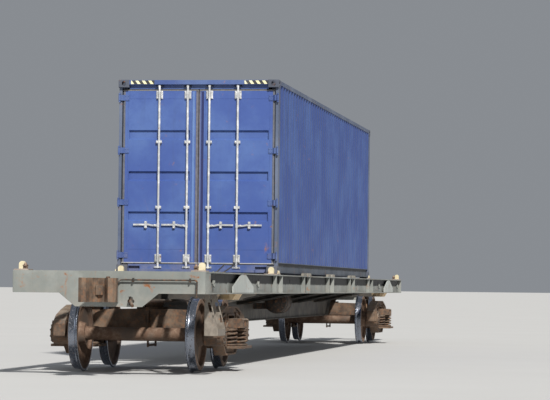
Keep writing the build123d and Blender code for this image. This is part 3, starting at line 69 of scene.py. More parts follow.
# Node graphs
class Graph:
    """A material's node tree with short calls for the nodes used here."""

    def __init__(self, name):
        self.material = bpy.data.materials.new(name)
        self.material.use_nodes = True
        self.tree = self.material.node_tree
        self.shader = self.tree.nodes["Principled BSDF"]
        self.place = self.node("ShaderNodeTexCoord").outputs["Object"]
        self.x, self.y, self.z = self.split(self.place)

    def node(self, kind, inputs=None, **settings):
        made = self.tree.nodes.new(kind)
        for key, value in settings.items():
            setattr(made, key, value)
        for key, value in (inputs or {}).items():
            self.feed(made.inputs[key], value)
        return made

    def feed(self, socket, value):
        if isinstance(value, bpy.types.NodeSocket):
            self.tree.links.new(value, socket)
        else:
            socket.default_value = value

    def split(self, vector):
        return self.node("ShaderNodeSeparateXYZ", {0: vector}).outputs

    def math(self, operation, a, b=0.0):
        return self.node("ShaderNodeMath", {0: a, 1: b}, operation=operation).outputs[0]

    def plus(self, a, b):
        return self.math("ADD", a, b)

    def minus(self, a, b):
        return self.math("SUBTRACT", a, b)

    def times(self, a, b):
        return self.math("MULTIPLY", a, b)

    def size_of(self, value):
        return self.math("ABSOLUTE", value)

    def noise(self, scale, detail=4.0, rough=0.55, stretch=None, twist=0.0):
        """Noise in the model's place; a small stretch factor draws it out along that axis."""
        place = self.place
        if stretch:
            place = self.node("ShaderNodeMapping", {"Vector": place, "Scale": stretch}).outputs[0]
        inputs = {"Vector": place, "Scale": scale, "Detail": detail, "Roughness": rough,
                  "Distortion": twist}
        return self.node("ShaderNodeTexNoise", inputs).outputs["Fac"]

    def step(self, value, low, high):
        """0 below low, 1 above high and smooth between, or falling where low is above high."""
        inputs = {"Value": value, "From Min": low, "From Max": high}
        return self.node("ShaderNodeMapRange", inputs, interpolation_type="SMOOTHSTEP").outputs[0]

    def patches(self, low, high, *noise, **extra):
        """Soft-edged patches where a noise is above low."""
        return self.step(self.noise(*noise, **extra), low, high)

    def mix(self, share, a, b):
        """Colours a and b mixed by share."""
        made = self.node("ShaderNodeMix", data_type="RGBA")
        self.feed(made.inputs["Factor"], share)
        for socket, value in ((made.inputs[6], a), (made.inputs[7], b)):
            self.feed(socket, (*value, 1.0) if isinstance(value, tuple) else value)
        return made.outputs[2]

    def blend(self, share, a, b):
        """Numbers a and b mixed by share."""
        made = self.node("ShaderNodeMix", {"Factor": share, 2: a, 3: b}, data_type="FLOAT")
        return made.outputs[0]

    def facing_up(self, low, high):
        """1 on faces that look up, 0 on upright ones."""
        normal = self.node("ShaderNodeNewGeometry").outputs["Normal"]
        return self.step(self.split(normal)[2], low, high)

    def bump(self, height, distance, strength=1.0, edge=None):
        """Relief from a height; edge is the radius that sharp edges are rounded by."""
        inputs = {"Height": height, "Distance": distance, "Strength": strength}
        if edge:
            soft = self.node("ShaderNodeBevel", {"Radius": edge}, samples=4)
            inputs["Normal"] = soft.outputs[0]
        return self.node("ShaderNodeBump", inputs).outputs[0]

    def finish(self, colour, rough, normal, metal=0.0, gloss=0.5):
        values = {"Base Color": colour, "Roughness": rough, "Metallic": metal,
                  "Specular IOR Level": gloss, "Normal": normal}
        for key, value in values.items():
            self.feed(self.shader.inputs[key], value)
        return self.material


RUST = (0.165, 0.062, 0.026)
RUST_PALE = (0.30, 0.135, 0.062)
DUST = (0.34, 0.30, 0.25)
# Near black painted on webs as the shadow under their flanges
SHADOW_BLACK = (0.014, 0.014, 0.015)


def shade(colour, share):
    return tuple(c * share for c in colour)


def painted_shadow_share(g, near, far, bottom, top, end):
    """How much painted shadow blackens a web under its flange, standing in for the flange's
    shade.

    The web lies near to far out from the middle and no further along than end. The painted shadow
    reaches from the level top down to a torn edge a little above bottom."""
    out = g.size_of(g.y)
    web = g.times(g.step(out, far + 0.005, far - 0.005), g.step(out, near - 0.005, near + 0.005))
    web = g.times(web, g.step(g.size_of(g.x), end, end - 0.01))
    torn = g.plus(g.z, g.times(g.noise(5, 6, 0.7), 0.10))
    shadowed = g.times(g.step(torn, bottom + 0.040, bottom + 0.060), g.step(g.z, top + 0.001, top))
    return g.times(g.times(shadowed, web), 0.94)


def weathered_paint(name, paint, faded, rust, dust, streak, low, high, edge=0.003,
                    shadow_band=None, settled=0.0, gloss=0.5):
    """Old paint: chalky fading, dirt streaks that run down, rust patches and dust.

    The dust thins out from the level low up to high. shadow_band says where a web is painted
    black as painted shadow under its flange, as painted_shadow_share takes it. settled is the
    share of dust on what faces up."""
    g = Graph(name)
    colour = g.mix(g.patches(0.38, 0.66, 1.1, 5, 0.6), paint, faded)
    mottle = g.patches(0.45, 0.75, 14, 6, 0.7)
    colour = g.mix(g.times(mottle, 0.22), colour, shade(paint, 0.72))
    runs = g.patches(0.52, 0.74, 9, 5, 0.65, stretch=(1, 1, 0.07))
    runs = g.times(runs, g.noise(0.9, 2, 0.5))
    colour = g.mix(g.times(runs, streak), colour, shade(faded, 0.45))
    flecks = g.noise(6.5, 8, 0.72, twist=0.4)
    spots = g.step(flecks, 0.70 - 0.09 * rust, 0.735 - 0.09 * rust)
    halo = g.step(flecks, 0.64 - 0.09 * rust, 0.72 - 0.09 * rust)
    tails = g.noise(7, 5, 0.7, stretch=(1, 1, 0.16))
    tails = g.step(tails, 0.69 - 0.08 * rust, 0.80 - 0.08 * rust)
    colour = g.mix(g.times(tails, 0.55 * rust + 0.1), colour, RUST_PALE)
    colour = g.mix(g.times(halo, 0.5), colour, RUST_PALE)
    colour = g.mix(spots, colour, g.mix(g.noise(40, 4, 0.7), RUST, RUST_PALE))
    grime = g.times(g.patches(0.35, 0.7, 3.2, 6, 0.7), g.step(g.z, high, low))
    colour = g.mix(g.times(grime, dust), colour, DUST)
    if settled:
        lying = g.times(g.facing_up(0.3, 0.9), g.patches(0.25, 0.6, 4, 6, 0.65))
        colour = g.mix(g.times(lying, settled), colour, shade(DUST, 0.75))
    # Painted shadow: the web is painted near black where its flange's shade falls
    if shadow_band:
        colour = g.mix(painted_shadow_share(g, *shadow_band), colour, SHADOW_BLACK)
    rough = g.blend(spots, g.blend(runs, 0.5, 0.68), 0.9)
    grain = g.plus(g.times(g.noise(160, 3, 0.6), 0.25), g.times(spots, -0.6))
    grain = g.plus(grain, g.times(g.noise(5, 3, 0.5), 0.8))
    return g.finish(colour, rough, g.bump(grain, 0.0016, 0.7, edge), gloss=gloss)


def cast_iron(name, base, dark, dust):
    """Rusty cast steel: sandy grain, brake dust on what faces up, oily dark patches."""
    g = Graph(name)
    patch = g.patches(0.38, 0.66, 4, 6, 0.65)
    colour = g.mix(patch, dark, base)
    colour = g.mix(g.times(g.patches(0.45, 0.7, 22, 6, 0.7), 0.5), colour, RUST_PALE)
    settled = g.times(g.facing_up(0.2, 0.9), g.patches(0.3, 0.6, 9, 5, 0.6))
    colour = g.mix(g.times(settled, dust), colour, DUST)
    sand = g.plus(g.noise(240, 4, 0.7), g.times(g.noise(30, 4, 0.6), 1.4))
    normal = g.bump(sand, 0.0022, 0.6, 0.006)
    return g.finish(colour, g.blend(patch, 0.62, 0.85), normal, 0.15, 0.25)


def wheel_steel(name, centre_x):
    """Rolled wheel steel: brown on the web, bright on the tread and the flange's face."""
    g = Graph(name)
    across, down = g.minus(g.x, centre_x), g.minus(g.z, AXLE_Z)
    reach = g.math("SQRT", g.plus(g.times(across, across), g.times(down, down)))
    worn = g.times(g.step(reach, 0.470, 0.476), g.patches(0.25, 0.45, 30, 4, 0.6))
    brown = g.mix(g.patches(0.4, 0.68, 12, 6, 0.7), (0.13, 0.075, 0.048), (0.25, 0.17, 0.12))
    brown = g.mix(g.patches(0.45, 0.7, 3, 3, 0.6), brown, (0.10, 0.075, 0.06))
    # The bright tread's bluish tint is a painted sky reflection, on top of the worn steel's own
    # shine
    colour = g.mix(worn, brown, (0.26, 0.285, 0.34))
    tool_marks = g.math("SINE", g.times(reach, 900.0))
    height = g.plus(g.times(tool_marks, 0.12), g.noise(140, 4, 0.7))
    normal = g.bump(height, 0.0012, 0.5, 0.004)
    return g.finish(colour, g.blend(worn, 0.78, 0.26), normal, g.blend(worn, 0.2, 1.0))


def step_finish(name):
    """Paint scuffed to dusty brown on the steps, and dark on the loops above the deck."""
    g = Graph(name)
    scuff = g.patches(0.35, 0.68, 9, 6, 0.7)
    brown_tone = g.mix(scuff, (0.150, 0.128, 0.105), (0.245, 0.215, 0.180))
    rusty = g.patches(0.60, 0.67, 13, 7, 0.72, twist=0.4)
    brown_tone = g.mix(g.times(rusty, 0.7), brown_tone, RUST_PALE)
    worn = g.mix(scuff, (0.018, 0.019, 0.024), (0.050, 0.045, 0.045))
    loops = g.step(g.z, 1.30, 1.36)
    grain = g.plus(g.noise(150, 4, 0.65), g.times(rusty, 0.7))
    normal = g.bump(grain, 0.0014, 0.6, 0.003)
    return g.finish(g.mix(loops, brown_tone, worn), g.blend(scuff, 0.5, 0.8), normal)


def lock_finish(name):
    """Cream paint on the stops, worn to rust on the twist locks and to grey on their pads."""
    g = Graph(name)
    fade = g.patches(0.38, 0.66, 5, 5, 0.6)
    chips = g.patches(0.60, 0.65, 17, 7, 0.72, twist=0.4)
    coat = g.mix(fade, (0.60, 0.53, 0.34), (0.70, 0.63, 0.46))
    coat = g.mix(chips, coat, RUST_PALE)
    bare = g.mix(g.patches(0.4, 0.65, 25, 6, 0.7), (0.11, 0.075, 0.055), (0.26, 0.17, 0.12))
    # The locks' heads at the ends of the deck, told from the stops by their place in x
    doors_end = g.step(g.x, -12.055, -12.065)
    closed_end = g.times(g.step(g.x, 12.046, 12.040), g.step(g.x, 11.80, 11.81))
    colour = g.mix(g.math("MAXIMUM", doors_end, closed_end), coat, bare)
    pad = g.mix(fade, (0.27, 0.22, 0.19), (0.37, 0.32, 0.28))
    pad = g.mix(g.times(chips, 0.8), pad, RUST_PALE)
    colour = g.mix(g.step(g.z, DECK_Z + 0.021, DECK_Z + 0.017), colour, pad)
    grain = g.plus(g.noise(140, 4, 0.65), g.times(chips, -0.8))
    return g.finish(colour, g.blend(chips, 0.55, 0.85), g.bump(grain, 0.0014, 0.7, 0.003))


def bolster_finish(name):
    """Near black in the middle of the car, grime with painted shade; ochre at the bolsters' ends,
    dust with painted light.
    """
    g = Graph(name)
    patch = g.patches(0.38, 0.66, 6, 6, 0.65)
    # Painted shade: the middle is near black for the shade under the deck. Painted light: the
    # outer ends are ochre where light reaches them
    grime_and_shade = g.mix(patch, (0.035, 0.032, 0.028), (0.070, 0.060, 0.050))
    brown_tone = g.mix(patch, (0.62, 0.44, 0.23), (0.76, 0.60, 0.40))
    torn = g.plus(g.size_of(g.y), g.times(g.noise(7, 4, 0.6), 0.12))
    lit_outer_end = g.times(g.step(torn, 0.98, 1.12), g.step(g.z, 1.20, 1.10))
    flakes = g.patches(0.60, 0.66, 12, 7, 0.72, twist=0.4)
    colour = g.mix(g.times(flakes, 0.7), g.mix(lit_outer_end, grime_and_shade, brown_tone), RUST)
    grain = g.plus(g.noise(150, 4, 0.65), g.times(flakes, 0.8))
    return g.finish(colour, g.blend(patch, 0.6, 0.85), g.bump(grain, 0.0016, 0.7, 0.003))


def zinc(name):
    """Galvanised steel, dull and spangled; the cams and keepers at the header are dark."""
    g = Graph(name)
    cells = g.node("ShaderNodeTexVoronoi", {"Vector": g.place, "Scale": 90.0})
    spangle = g.times(g.split(cells.outputs["Color"])[0], 0.5)
    bloom = g.patches(0.45, 0.72, 11, 6, 0.7)
    colour = g.mix(spangle, (0.60, 0.61, 0.62), (0.74, 0.745, 0.75))
    colour = g.mix(bloom, colour, (0.78, 0.79, 0.79))
    colour = g.mix(g.patches(0.62, 0.7, 8, 7, 0.72), colour, RUST_PALE)
    inner, outer = BAR_PLACES
    off_middle = g.size_of(g.minus(g.size_of(g.y), (inner + outer) / 2))
    off_bar = g.size_of(g.minus(off_middle, (outer - inner) / 2))
    over_doors = g.step(g.z, DOOR_HIGH + 0.004, DOOR_HIGH + 0.009)
    dark = g.mix(bloom, (0.020, 0.024, 0.040), (0.045, 0.055, 0.085))
    colour = g.mix(g.times(g.step(off_bar, 0.016, 0.019), over_doors), colour, dark)
    normal = g.bump(g.noise(120, 4, 0.6), 0.0008, 0.5, 0.002)
    return g.finish(colour, g.blend(bloom, 0.42, 0.7), normal, g.blend(bloom, 0.7, 0.2))


def plywood(name):
    """Planks across the floor, oiled and scuffed."""
    g = Graph(name)
    planks_per_metre = 3.4
    plank = g.math("FRACT", g.times(g.x, planks_per_metre))
    seam = g.times(g.step(plank, 0.0, 0.02), g.step(plank, 1.0, 0.98))
    grain = g.noise(26, 6, 0.65, stretch=(6, 0.35, 1), twist=0.6)
    colour = g.mix(grain, (0.20, 0.115, 0.06), (0.42, 0.28, 0.16))
    colour = g.mix(seam, (0.03, 0.02, 0.015), colour)
    return g.finish(colour, 0.6, g.bump(g.plus(seam, g.times(grain, 0.3)), 0.002))


def rubber(name, fresh, chalky, black_from=9.0):
    """Rubber that the sun has bleached in patches, black further out than black_from.

    Along the door leaves' tops and feet it is painted paler, as painted light where the lips
    catch the sun. At the doorway's middle the right leaf's side of it is bluish, with a dark edge
    that is painted shade of the gap beside the leaf."""
    g = Graph(name)
    chalk = g.patches(0.35, 0.75, 18, 6, 0.7)
    outer = g.step(g.size_of(g.y), black_from, black_from + 0.01)
    colour = g.mix(outer, g.mix(chalk, fresh, chalky), (0.020, 0.022, 0.028))
    bluish = g.times(g.step(g.y, -0.016, -0.022), g.step(g.y, -0.082, -0.078))
    colour = g.mix(bluish, colour, (0.075, 0.105, 0.26))
    # Painted shade: a dark line on the rubber for the shade in the gap beside the right leaf
    gap_shade = g.times(bluish, g.step(g.y, -0.041, -0.044))
    colour = g.mix(gap_shade, colour, (0.012, 0.018, 0.090))
    # Painted light: the tops and feet are paler where the lips catch the sun, over the bleached
    # patches
    top = g.step(g.z, DOOR_HIGH - 0.014, DOOR_HIGH - 0.012)
    colour = g.mix(top, colour, g.mix(chalk, (0.14, 0.138, 0.135), (0.21, 0.205, 0.195)))
    lit_foot = g.step(g.z, DOOR_LOW + 0.014, DOOR_LOW + 0.012)
    colour = g.mix(lit_foot, colour, g.mix(chalk, (0.30, 0.30, 0.31), (0.42, 0.41, 0.40)))
    return g.finish(colour, g.blend(chalk, 0.55, 0.85), g.bump(g.noise(90, 4, 0.6), 0.001))


# Old paints: fresh and faded colour, then the shares of rust, dust and streaks and the
# levels that the dust lies between
FRAME_DUST = (0.6, 1.6)
BOX_DUST = (1.0, 2.4)
STRIPE_DUST = (1.0, 2.0)
PAINTS = {
    "frame_grey": ((0.20, 0.215, 0.205), (0.30, 0.315, 0.30), 0.85, 0.5, 0.8, *FRAME_DUST),
    # A lighter copy of frame_grey: painted light where the gussets face the sun
    "gusset_lit_grey": ((0.40, 0.43, 0.41), (0.52, 0.55, 0.53), 0.7, 0.4, 0.6, *FRAME_DUST),
    # Near black for the underframe: grime, and painted shade for the dark under the deck
    "grime_and_shade_grey": ((0.036, 0.036, 0.034), (0.072, 0.068, 0.062), 0.7, 0.4, 0.5, 0.4, 1.5),
    "stop_grey": ((0.17, 0.16, 0.135), (0.30, 0.28, 0.235), 0.9, 0.5, 0.6, 0.9, 1.8, 0.002),
    "door_blue": ((0.043, 0.085, 0.286), (0.070, 0.130, 0.340), 0.15, 0.10, 0.35, *BOX_DUST),
    "edge_blue": ((0.090, 0.165, 0.38), (0.130, 0.220, 0.45), 0.15, 0.10, 0.35, *BOX_DUST),
    "header_blue": ((0.050, 0.088, 0.25), (0.085, 0.135, 0.30), 0.3, 0.40, 0.5, *BOX_DUST),
    "side_blue": ((0.037, 0.067, 0.214), (0.052, 0.094, 0.256), 0.2, 0.10, 0.6, *BOX_DUST),
    "chalk_blue": ((0.075, 0.100, 0.165), (0.125, 0.155, 0.23), 0.5, 0.25, 0.6, *BOX_DUST),
    "casting_blue": ((0.060, 0.070, 0.098), (0.100, 0.113, 0.150), 0.5, 0.25, 0.6, *BOX_DUST),
    "rail_blue": ((0.060, 0.075, 0.100), (0.095, 0.112, 0.140), 0.5, 0.06, 0.6, *BOX_DUST),
    "roof_blue": ((0.10, 0.15, 0.38), (0.22, 0.28, 0.46), 0.45, 0.30, 0.0, 4.1, 4.3),
    "stripe_dark": ((0.03, 0.03, 0.03), (0.07, 0.07, 0.07), 0.0, 0.1, 0.3, *STRIPE_DUST),
    "stripe_light": ((0.76, 0.72, 0.42), (0.80, 0.79, 0.62), 0.1, 0.1, 0.4, *STRIPE_DUST),
}
# Paints that are dull with settled dust, or have painted shadow on their webs under a flange
GRIME_AND_SHADOW = {
    "frame_grey": {"shadow_band": (1.185, 1.211, 1.19, 1.3115, 11.98), "settled": 0.3, "gloss": 0.15},
    "grime_and_shade_grey": {"settled": 0.55, "gloss": 0.12},
    "rail_blue": {"shadow_band": (1.180, 1.198, 1.460, 1.502, 6.1), "gloss": 0.15},
}
looks = {name: weathered_paint(name, *row, **GRIME_AND_SHADOW.get(name, {})) for name, row in PAINTS.items()}
looks.update({
    "bogie_iron": cast_iron("bogie_iron", (0.20, 0.145, 0.105), (0.085, 0.062, 0.048), 0.5),
    "black_iron": cast_iron("black_iron", (0.07, 0.062, 0.056), (0.03, 0.028, 0.026), 0.35),
    "spring_iron": cast_iron("spring_iron", (0.17, 0.125, 0.09), (0.07, 0.05, 0.04), 0.25),
    "step_paint": step_finish("step_paint"),
    "lock_paint": lock_finish("lock_paint"),
    "bolster_paint": bolster_finish("bolster_paint"),
    "galvanised": zinc("galvanised"),
    "floor_planks": plywood("floor_planks"),
    "seal_rubber": rubber("seal_rubber", (0.100, 0.098, 0.115), (0.165, 0.160, 0.190), 0.07),
    "bleached_and_lit_rubber": rubber("bleached_and_lit_rubber", (0.090, 0.095, 0.115), (0.150, 0.155, 0.185)),
})

# Look of each CAD node, by the start of its name; the first that fits is taken
NODE_LOOKS = [
    ("bogie_", "bogie_iron"),
    ("couplers", "bogie_iron"),
    ("pivot_plates", "bogie_iron"),
    ("sill_gussets", "gusset_lit_grey"),
    ("body_bolsters", "bolster_paint"),
    ("steps_and_loops", "step_paint"),
    ("centre_sill", "grime_and_shade_grey"),
    ("cross_beams", "grime_and_shade_grey"),
    ("light_beams", "grime_and_shade_grey"),
    ("brake_", "black_iron"),
    ("uncoupling_levers", "black_iron"),
    ("air_reservoir", "black_iron"),
    ("control_valve", "black_iron"),
    ("container_locks", "lock_paint"),
    ("folding_stops", "stop_grey"),
    ("lock_", "galvanised"),
    ("door_seals", "seal_rubber"),
    ("door_hinges", "header_blue"),
    ("hinge_pins", "header_blue"),
    ("door_frame", "header_blue"),
    ("door_", "door_blue"),
    ("corner_castings", "casting_blue"),
    ("corner_posts", "chalk_blue"),
    ("bottom_rails", "rail_blue"),
    ("top_rails", "chalk_blue"),
    ("floor_beams", "chalk_blue"),
    ("floor_deck", "floor_planks"),
    ("wall_", "side_blue"),
    ("front_wall", "side_blue"),
    ("roof", "roof_blue"),
    ("", "frame_grey"),
]


def assign(thing, material):
    slots = thing.material_slots
    if not slots:
        thing.data.materials.append(material)
    for one in slots:
        one.material = material


for number, centre_x in enumerate(AXLE_PLACES, 1):
    steel = wheel_steel(f"wheel_steel_{number}", centre_x)
    assign(nodes[f"wheels_{number}"], steel)
    assign(nodes[f"axle_{number}"], steel)
for name, thing in nodes.items():
    if not name.startswith(("wheels_", "axle_")):
        assign(thing, looks[next(look for start, look in NODE_LOOKS if name.startswith(start))])


# Mesh building
def angles(count, start=0.0):
    """Directions spaced evenly round a circle."""
    return [start + 2 * pi * k / count for k in range(count)]


def pairs(a, b):
    """The four corners of a rectangle, from half its width and half its height."""
    return [(m * a, n * b) for m in SIDES for n in SIDES]


class Shape:
    """Small parts gathered in one mesh."""

    def __init__(self):
        self.mesh = bmesh.new()

    def ring(self, points):
        return [self.mesh.verts.new(point) for point in points]

    def bridge(self, first, second):
        count = len(first)
        for k in range(count):
            m = (k + 1) % count
            self.mesh.faces.new((first[k], first[m], second[m], second[k]))

    def cap(self, ring):
        self.mesh.faces.new(ring)

    def skin(self, rings):
        """Bridges between the rings and a cap at either end."""
        for first, second in zip(rings, rings[1:]):
            self.bridge(first, second)
        self.cap(rings[0][::-1])
        self.cap(rings[-1])

    def prism(self, outline, axis, low, high):
        """An outline carried along an axis (0, 1 or 2); its points are the other two axes."""
        rings = []
        for level in (low, high):
            points = [[a, b] for a, b in outline]
            for point in points:
                point.insert(axis, level)
            rings.append(self.ring(points))
        self.skin(rings)

    def box(self, first, last):
        """A box between two opposite corners, in any order."""
        (x0, x1), (y0, y1), (z0, z1) = [sorted(ends) for ends in zip(first, last)]
        self.prism([(y0, z0), (y1, z0), (y1, z1), (y0, z1)], 0, x0, x1)

    def lathe(self, profile, place, axis, steps=12):
        """A turned part: (distance along the axis, radius) pairs, from one end to the other."""
        axis = Vector(axis).normalized()
        across = axis.orthogonal().normalized()
        other = axis.cross(across)
        rings = []
        for along, radius in profile:
            middle = Vector(place) + axis * along
            points = [middle + (across * cos(t) + other * sin(t)) * radius for t in angles(steps)]
            rings.append(self.ring(points))
        self.skin(rings)

    def bolt(self, place, axis, size, height):
        """A hexagon head on a washer, standing on a surface."""
        self.lathe([(0, size * 1.35), (height * 0.22, size * 1.3)], place, axis, 12)
        head = [(height * 0.2, size), (height * 0.85, size), (height, size * 0.78)]
        self.lathe(head, place, axis, 6)

    def bolt_circle(self, middle, radius, count, axis, size, height, start=0.0):
        """Bolts round a middle, on an upright face whose axis is along x or y."""
        x, y, z = middle
        for t in angles(count, start):
            out, up = radius * cos(t), radius * sin(t)
            place = (x, y + out, z + up) if axis[0] else (x + out, y, z + up)
            self.bolt(place, axis, size, height)

    def rivet(self, place, axis, size):
        profile = [(0, size), (size * 0.35, size * 0.85), (size * 0.6, size * 0.4)]
        self.lathe(profile, place, axis, 8)

    def tube(self, points, radius, sides=8, closed=False):
        """A round bar through the points."""
        points = [Vector(p) for p in points]
        count = len(points)
        rings = []
        up = None
        for k, point in enumerate(points):
            before = points[k - 1] if closed or k else point
            after = points[(k + 1) % count] if closed or k < count - 1 else point
            along = (after - before).normalized()
            if up is None:
                up = along.orthogonal().normalized()
            up = (up - along * up.dot(along)).normalized()
            other = along.cross(up)
            around = [up * cos(t) + other * sin(t) for t in angles(sides)]
            rings.append(self.ring([point + spoke * radius for spoke in around]))
        if closed:
            for first, second in zip(rings, rings[1:] + rings[:1]):
                self.bridge(first, second)
        else:
            self.skin(rings)

    def band(self, middle, radius, thick, count):
        """A round strap on a pipe or a drum that lies along the car."""
        x, y, z = middle
        ring = [(x, y + radius * cos(t), z + radius * sin(t)) for t in angles(count)]
        self.tube(ring, thick, 6, closed=True)

    def weld(self, start, stop, radius=0.0035):
        """A weld bead: a run of overlapping ripples."""
        start, stop = Vector(start), Vector(stop)
        length = (stop - start).length
        count = max(3, int(length / 0.03))
        axis = (stop - start) / length
        ripples = [radius * (1.0 if k % 2 else 0.72) for k in range(count + 1)]
        profile = [(length * k / count, ripple) for k, ripple in enumerate(ripples)]
        self.lathe(profile, start, axis, 6)

    def make(self, name, look, body, slot, smooth=35):
        """One object of all the parts; edges that turn more than smooth degrees stay sharp."""
        bmesh.ops.recalc_face_normals(self.mesh, faces=self.mesh.faces)
        data = bpy.data.meshes.new(name)
        self.mesh.to_mesh(data)
        self.mesh.free()
        data.shade_smooth()
        data.set_sharp_from_angle(angle=radians(smooth))
        thing = bpy.data.objects.new(name, data)
        bpy.context.scene.collection.objects.link(thing)
        data.materials.append(looks[look])
        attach(thing, body)
        return thing


# Bogies: open coil springs in place of the CAD's, bolts and rivets
SPRING_STEPS = [(-1, -0.5), (-1, 0.5), (0, -1), (0, 0), (0, 1), (1, -0.5), (1, 0.5)]
# Radius, half thickness of the wire, turns and hand of a spring's outer and inner coil
COILS = ((0.085, 0.0148, 5.5, 1), (0.050, 0.0095, 8.5, -1))
# The cover's and the cap's bolts: y, circle, number, first angle, size and height of a head
BOX_BOLTS = ((1.1635, 0.108, 8, pi / 8, 0.012, 0.014), (1.1745, 0.042, 3, pi / 2, 0.010, 0.010))
COLUMN_X, COLUMN_FACE_Y, COLUMN_RIVET_Z = 0.30, 1.098, (0.70, 0.77)


def coil(shape, x, y, radius, wire, turns, hand):
    """A coil spring on the spring seat, with closed, flattened end turns."""
    steps = int(turns * 18)
    span = SPRING_HIGH - SPRING_LOW - 2 * wire
    points = []
    for k in range(steps + 1):
        turn = turns * k / steps
        rise = min(1.0, max(0.0, (turn - 0.75) / (turns - 1.5)))
        angle = hand * 2 * pi * turn
        z = SPRING_LOW + wire + span * rise
        points.append((x + radius * cos(angle), y + radius * sin(angle), z))
    shape.tube(points, wire, 8)


for word, end in BOGIES:
    springs = Shape()
    for side in SIDES:
        for step_x, step_y in SPRING_STEPS:
            x, y = end * PIVOT_X + step_x * SPRING_PITCH, side * JOURNAL_Y + step_y * SPRING_PITCH
            for values in COILS:
                coil(springs, x, y, *values)
    coils = springs.make(f"coil_springs_{word}", "spring_iron", f"bogie_{word}", "bogie_iron", 80)
    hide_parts(f"bogie_{word}_springs")

    bolts = Shape()
    for side in SIDES:
        outwards = (0, side, 0)
        for way in SIDES:
            axle_x = end * PIVOT_X + way * WHEELBASE / 2
            for y, radius, count, start, size, height in BOX_BOLTS:
                middle = (axle_x, side * y, AXLE_Z)
                bolts.bolt_circle(middle, radius, count, outwards, size, height, start)
        for way in SIDES:
            for z in COLUMN_RIVET_Z:
                place = (end * PIVOT_X + way * COLUMN_X, side * COLUMN_FACE_Y, z)
                bolts.rivet(place, outwards, 0.014)
    bolts.make(f"bogie_bolts_{word}", "black_iron", f"bogie_{word}", "bogie_iron")

# Doors: bolts of the lock gear, hinge rivets, rubber lips and weld seams
LEAF_HEIGHT = DOOR_HIGH - DOOR_LOW
BRACKET_Z = (DOOR_LOW + 0.072, DOOR_HIGH - 0.072)
GUIDE_Z = [DOOR_LOW + share * LEAF_HEIGHT for share in (0.323, 0.7)]
HANDLE_Z = DOOR_LOW + 0.2175 * LEAF_HEIGHT
HINGE_Z = [DOOR_LOW + share * LEAF_HEIGHT for share in (0.045, 0.35, 0.65, 0.955)]
HUB, CATCH = 0.055, 0.19  # how far outside their bar a handle's hub and catch stand
HINGE_RIVET_Y, HINGE_RIVET_UP = (1.075, 1.115), 0.024
LIP_X = DOOR_X - 0.0035  # the lips' top, 3.5 mm proud of the leaf
LIP_CUTS = [z + way * 0.045 for z in HINGE_Z for way in SIDES]
LIP_STOPS = [DOOR_LOW, *LIP_CUTS, DOOR_HIGH]
LEVEL_LIPS = ((DOOR_HIGH - 0.011, DOOR_HIGH + 0.006), (DOOR_LOW - 0.006, DOOR_LOW + 0.011))
LEVEL_LIP_Y = (0.014, 1.120)
# Profiles across a lip: its foot, the two edges of its top, and its other foot
HINGE_LIP = (1.122, 1.126, 1.149, 1.153)
INNER_LIPS = {"left": (0.060, 0.063, 0.094, 0.098), "right": (0.043, 0.046, 0.074, 0.078)}
SEAM_INNER_Y, SEAM_OUTER_Y = 0.100, 1.080
SEAM_LEVELS = (3.957, 1.696)
SEAM_LOW, SEAM_HIGH = 1.60, 3.98


def upright_lip(shape, side, profile, low, high):
    outline = zip((DOOR_X, LIP_X, LIP_X, DOOR_X), profile)
    shape.prism([(x, side * y) for x, y in outline], 2, low, high)


for word, side in LEAVES:
    bolts = Shape()
    for place in BAR_PLACES:
        y = side * place
        for z in BRACKET_Z:
            for across, up in pairs(0.041, 0.042):
                bolts.bolt((BAR_X + 0.008, y + across, z + up), TO_DOORS_END, 0.007, 0.007)
        for z in GUIDE_Z:
            for across in (-0.031, 0.031):
                bolts.bolt((BAR_X - 0.014, y + across, z), TO_DOORS_END, 0.007, 0.006)
        for up in (-0.030, 0.050):
            catch = (BAR_X - 0.012, y + side * CATCH, HANDLE_Z + up)
            bolts.rivet(catch, TO_DOORS_END, 0.007)
        hub = (BAR_X - 0.006, y + side * HUB, HANDLE_Z)
        bolts.lathe([(0, 0.017), (0.004, 0.017), (0.008, 0.012)], hub, TO_DOORS_END)
    bolts.make(f"lock_gear_bolts_{word}", "galvanised", f"leaf_{word}", "zinc")

    rivets = Shape()
    for z in HINGE_Z:
        for y in HINGE_RIVET_Y:
            for up in (-HINGE_RIVET_UP, HINGE_RIVET_UP):
                rivets.rivet((DOOR_X - 0.010, side * y, z + up), TO_DOORS_END, 0.009)
    rivets.make(f"hinge_rivets_{word}", "door_blue", f"leaf_{word}", "container_blue")

    # Rubber lips over the leaf's edges, cut where the hinge blades cross them. The inner
    # one is a painted strip on the left leaf.
    lips = Shape()
    for low, high in zip(LIP_STOPS[0::2], LIP_STOPS[1::2]):
        upright_lip(lips, side, HINGE_LIP, low, high)
    for low, high in LEVEL_LIPS:
        outline = [(DOOR_X, low), (LIP_X, low + 0.004), (LIP_X, high - 0.004), (DOOR_X, high)]
        lips.prism(outline, 1, *sorted(side * y for y in LEVEL_LIP_Y))
    strip = Shape() if word == "left" else lips
    upright_lip(strip, side, INNER_LIPS[word], DOOR_LOW + 0.02, DOOR_HIGH - 0.02)
    if word == "left":
        strip.make("leaf_edge_strip", "edge_blue", "leaf_left", "container_blue")
    lips.make(f"edge_lips_{word}", "bleached_and_lit_rubber", f"leaf_{word}", "seal")

    seams = Shape()
    inner, outer = side * SEAM_INNER_Y, side * SEAM_OUTER_Y
    for z in SEAM_LEVELS:
        seams.weld((DOOR_X, inner, z), (DOOR_X, outer, z), 0.003)
    for y in (inner, outer):
        seams.weld((DOOR_X, y, SEAM_LOW), (DOOR_X, y, SEAM_HIGH), 0.003)
    seams.make(f"leaf_seams_{word}", "door_blue", f"leaf_{word}", "container_blue")

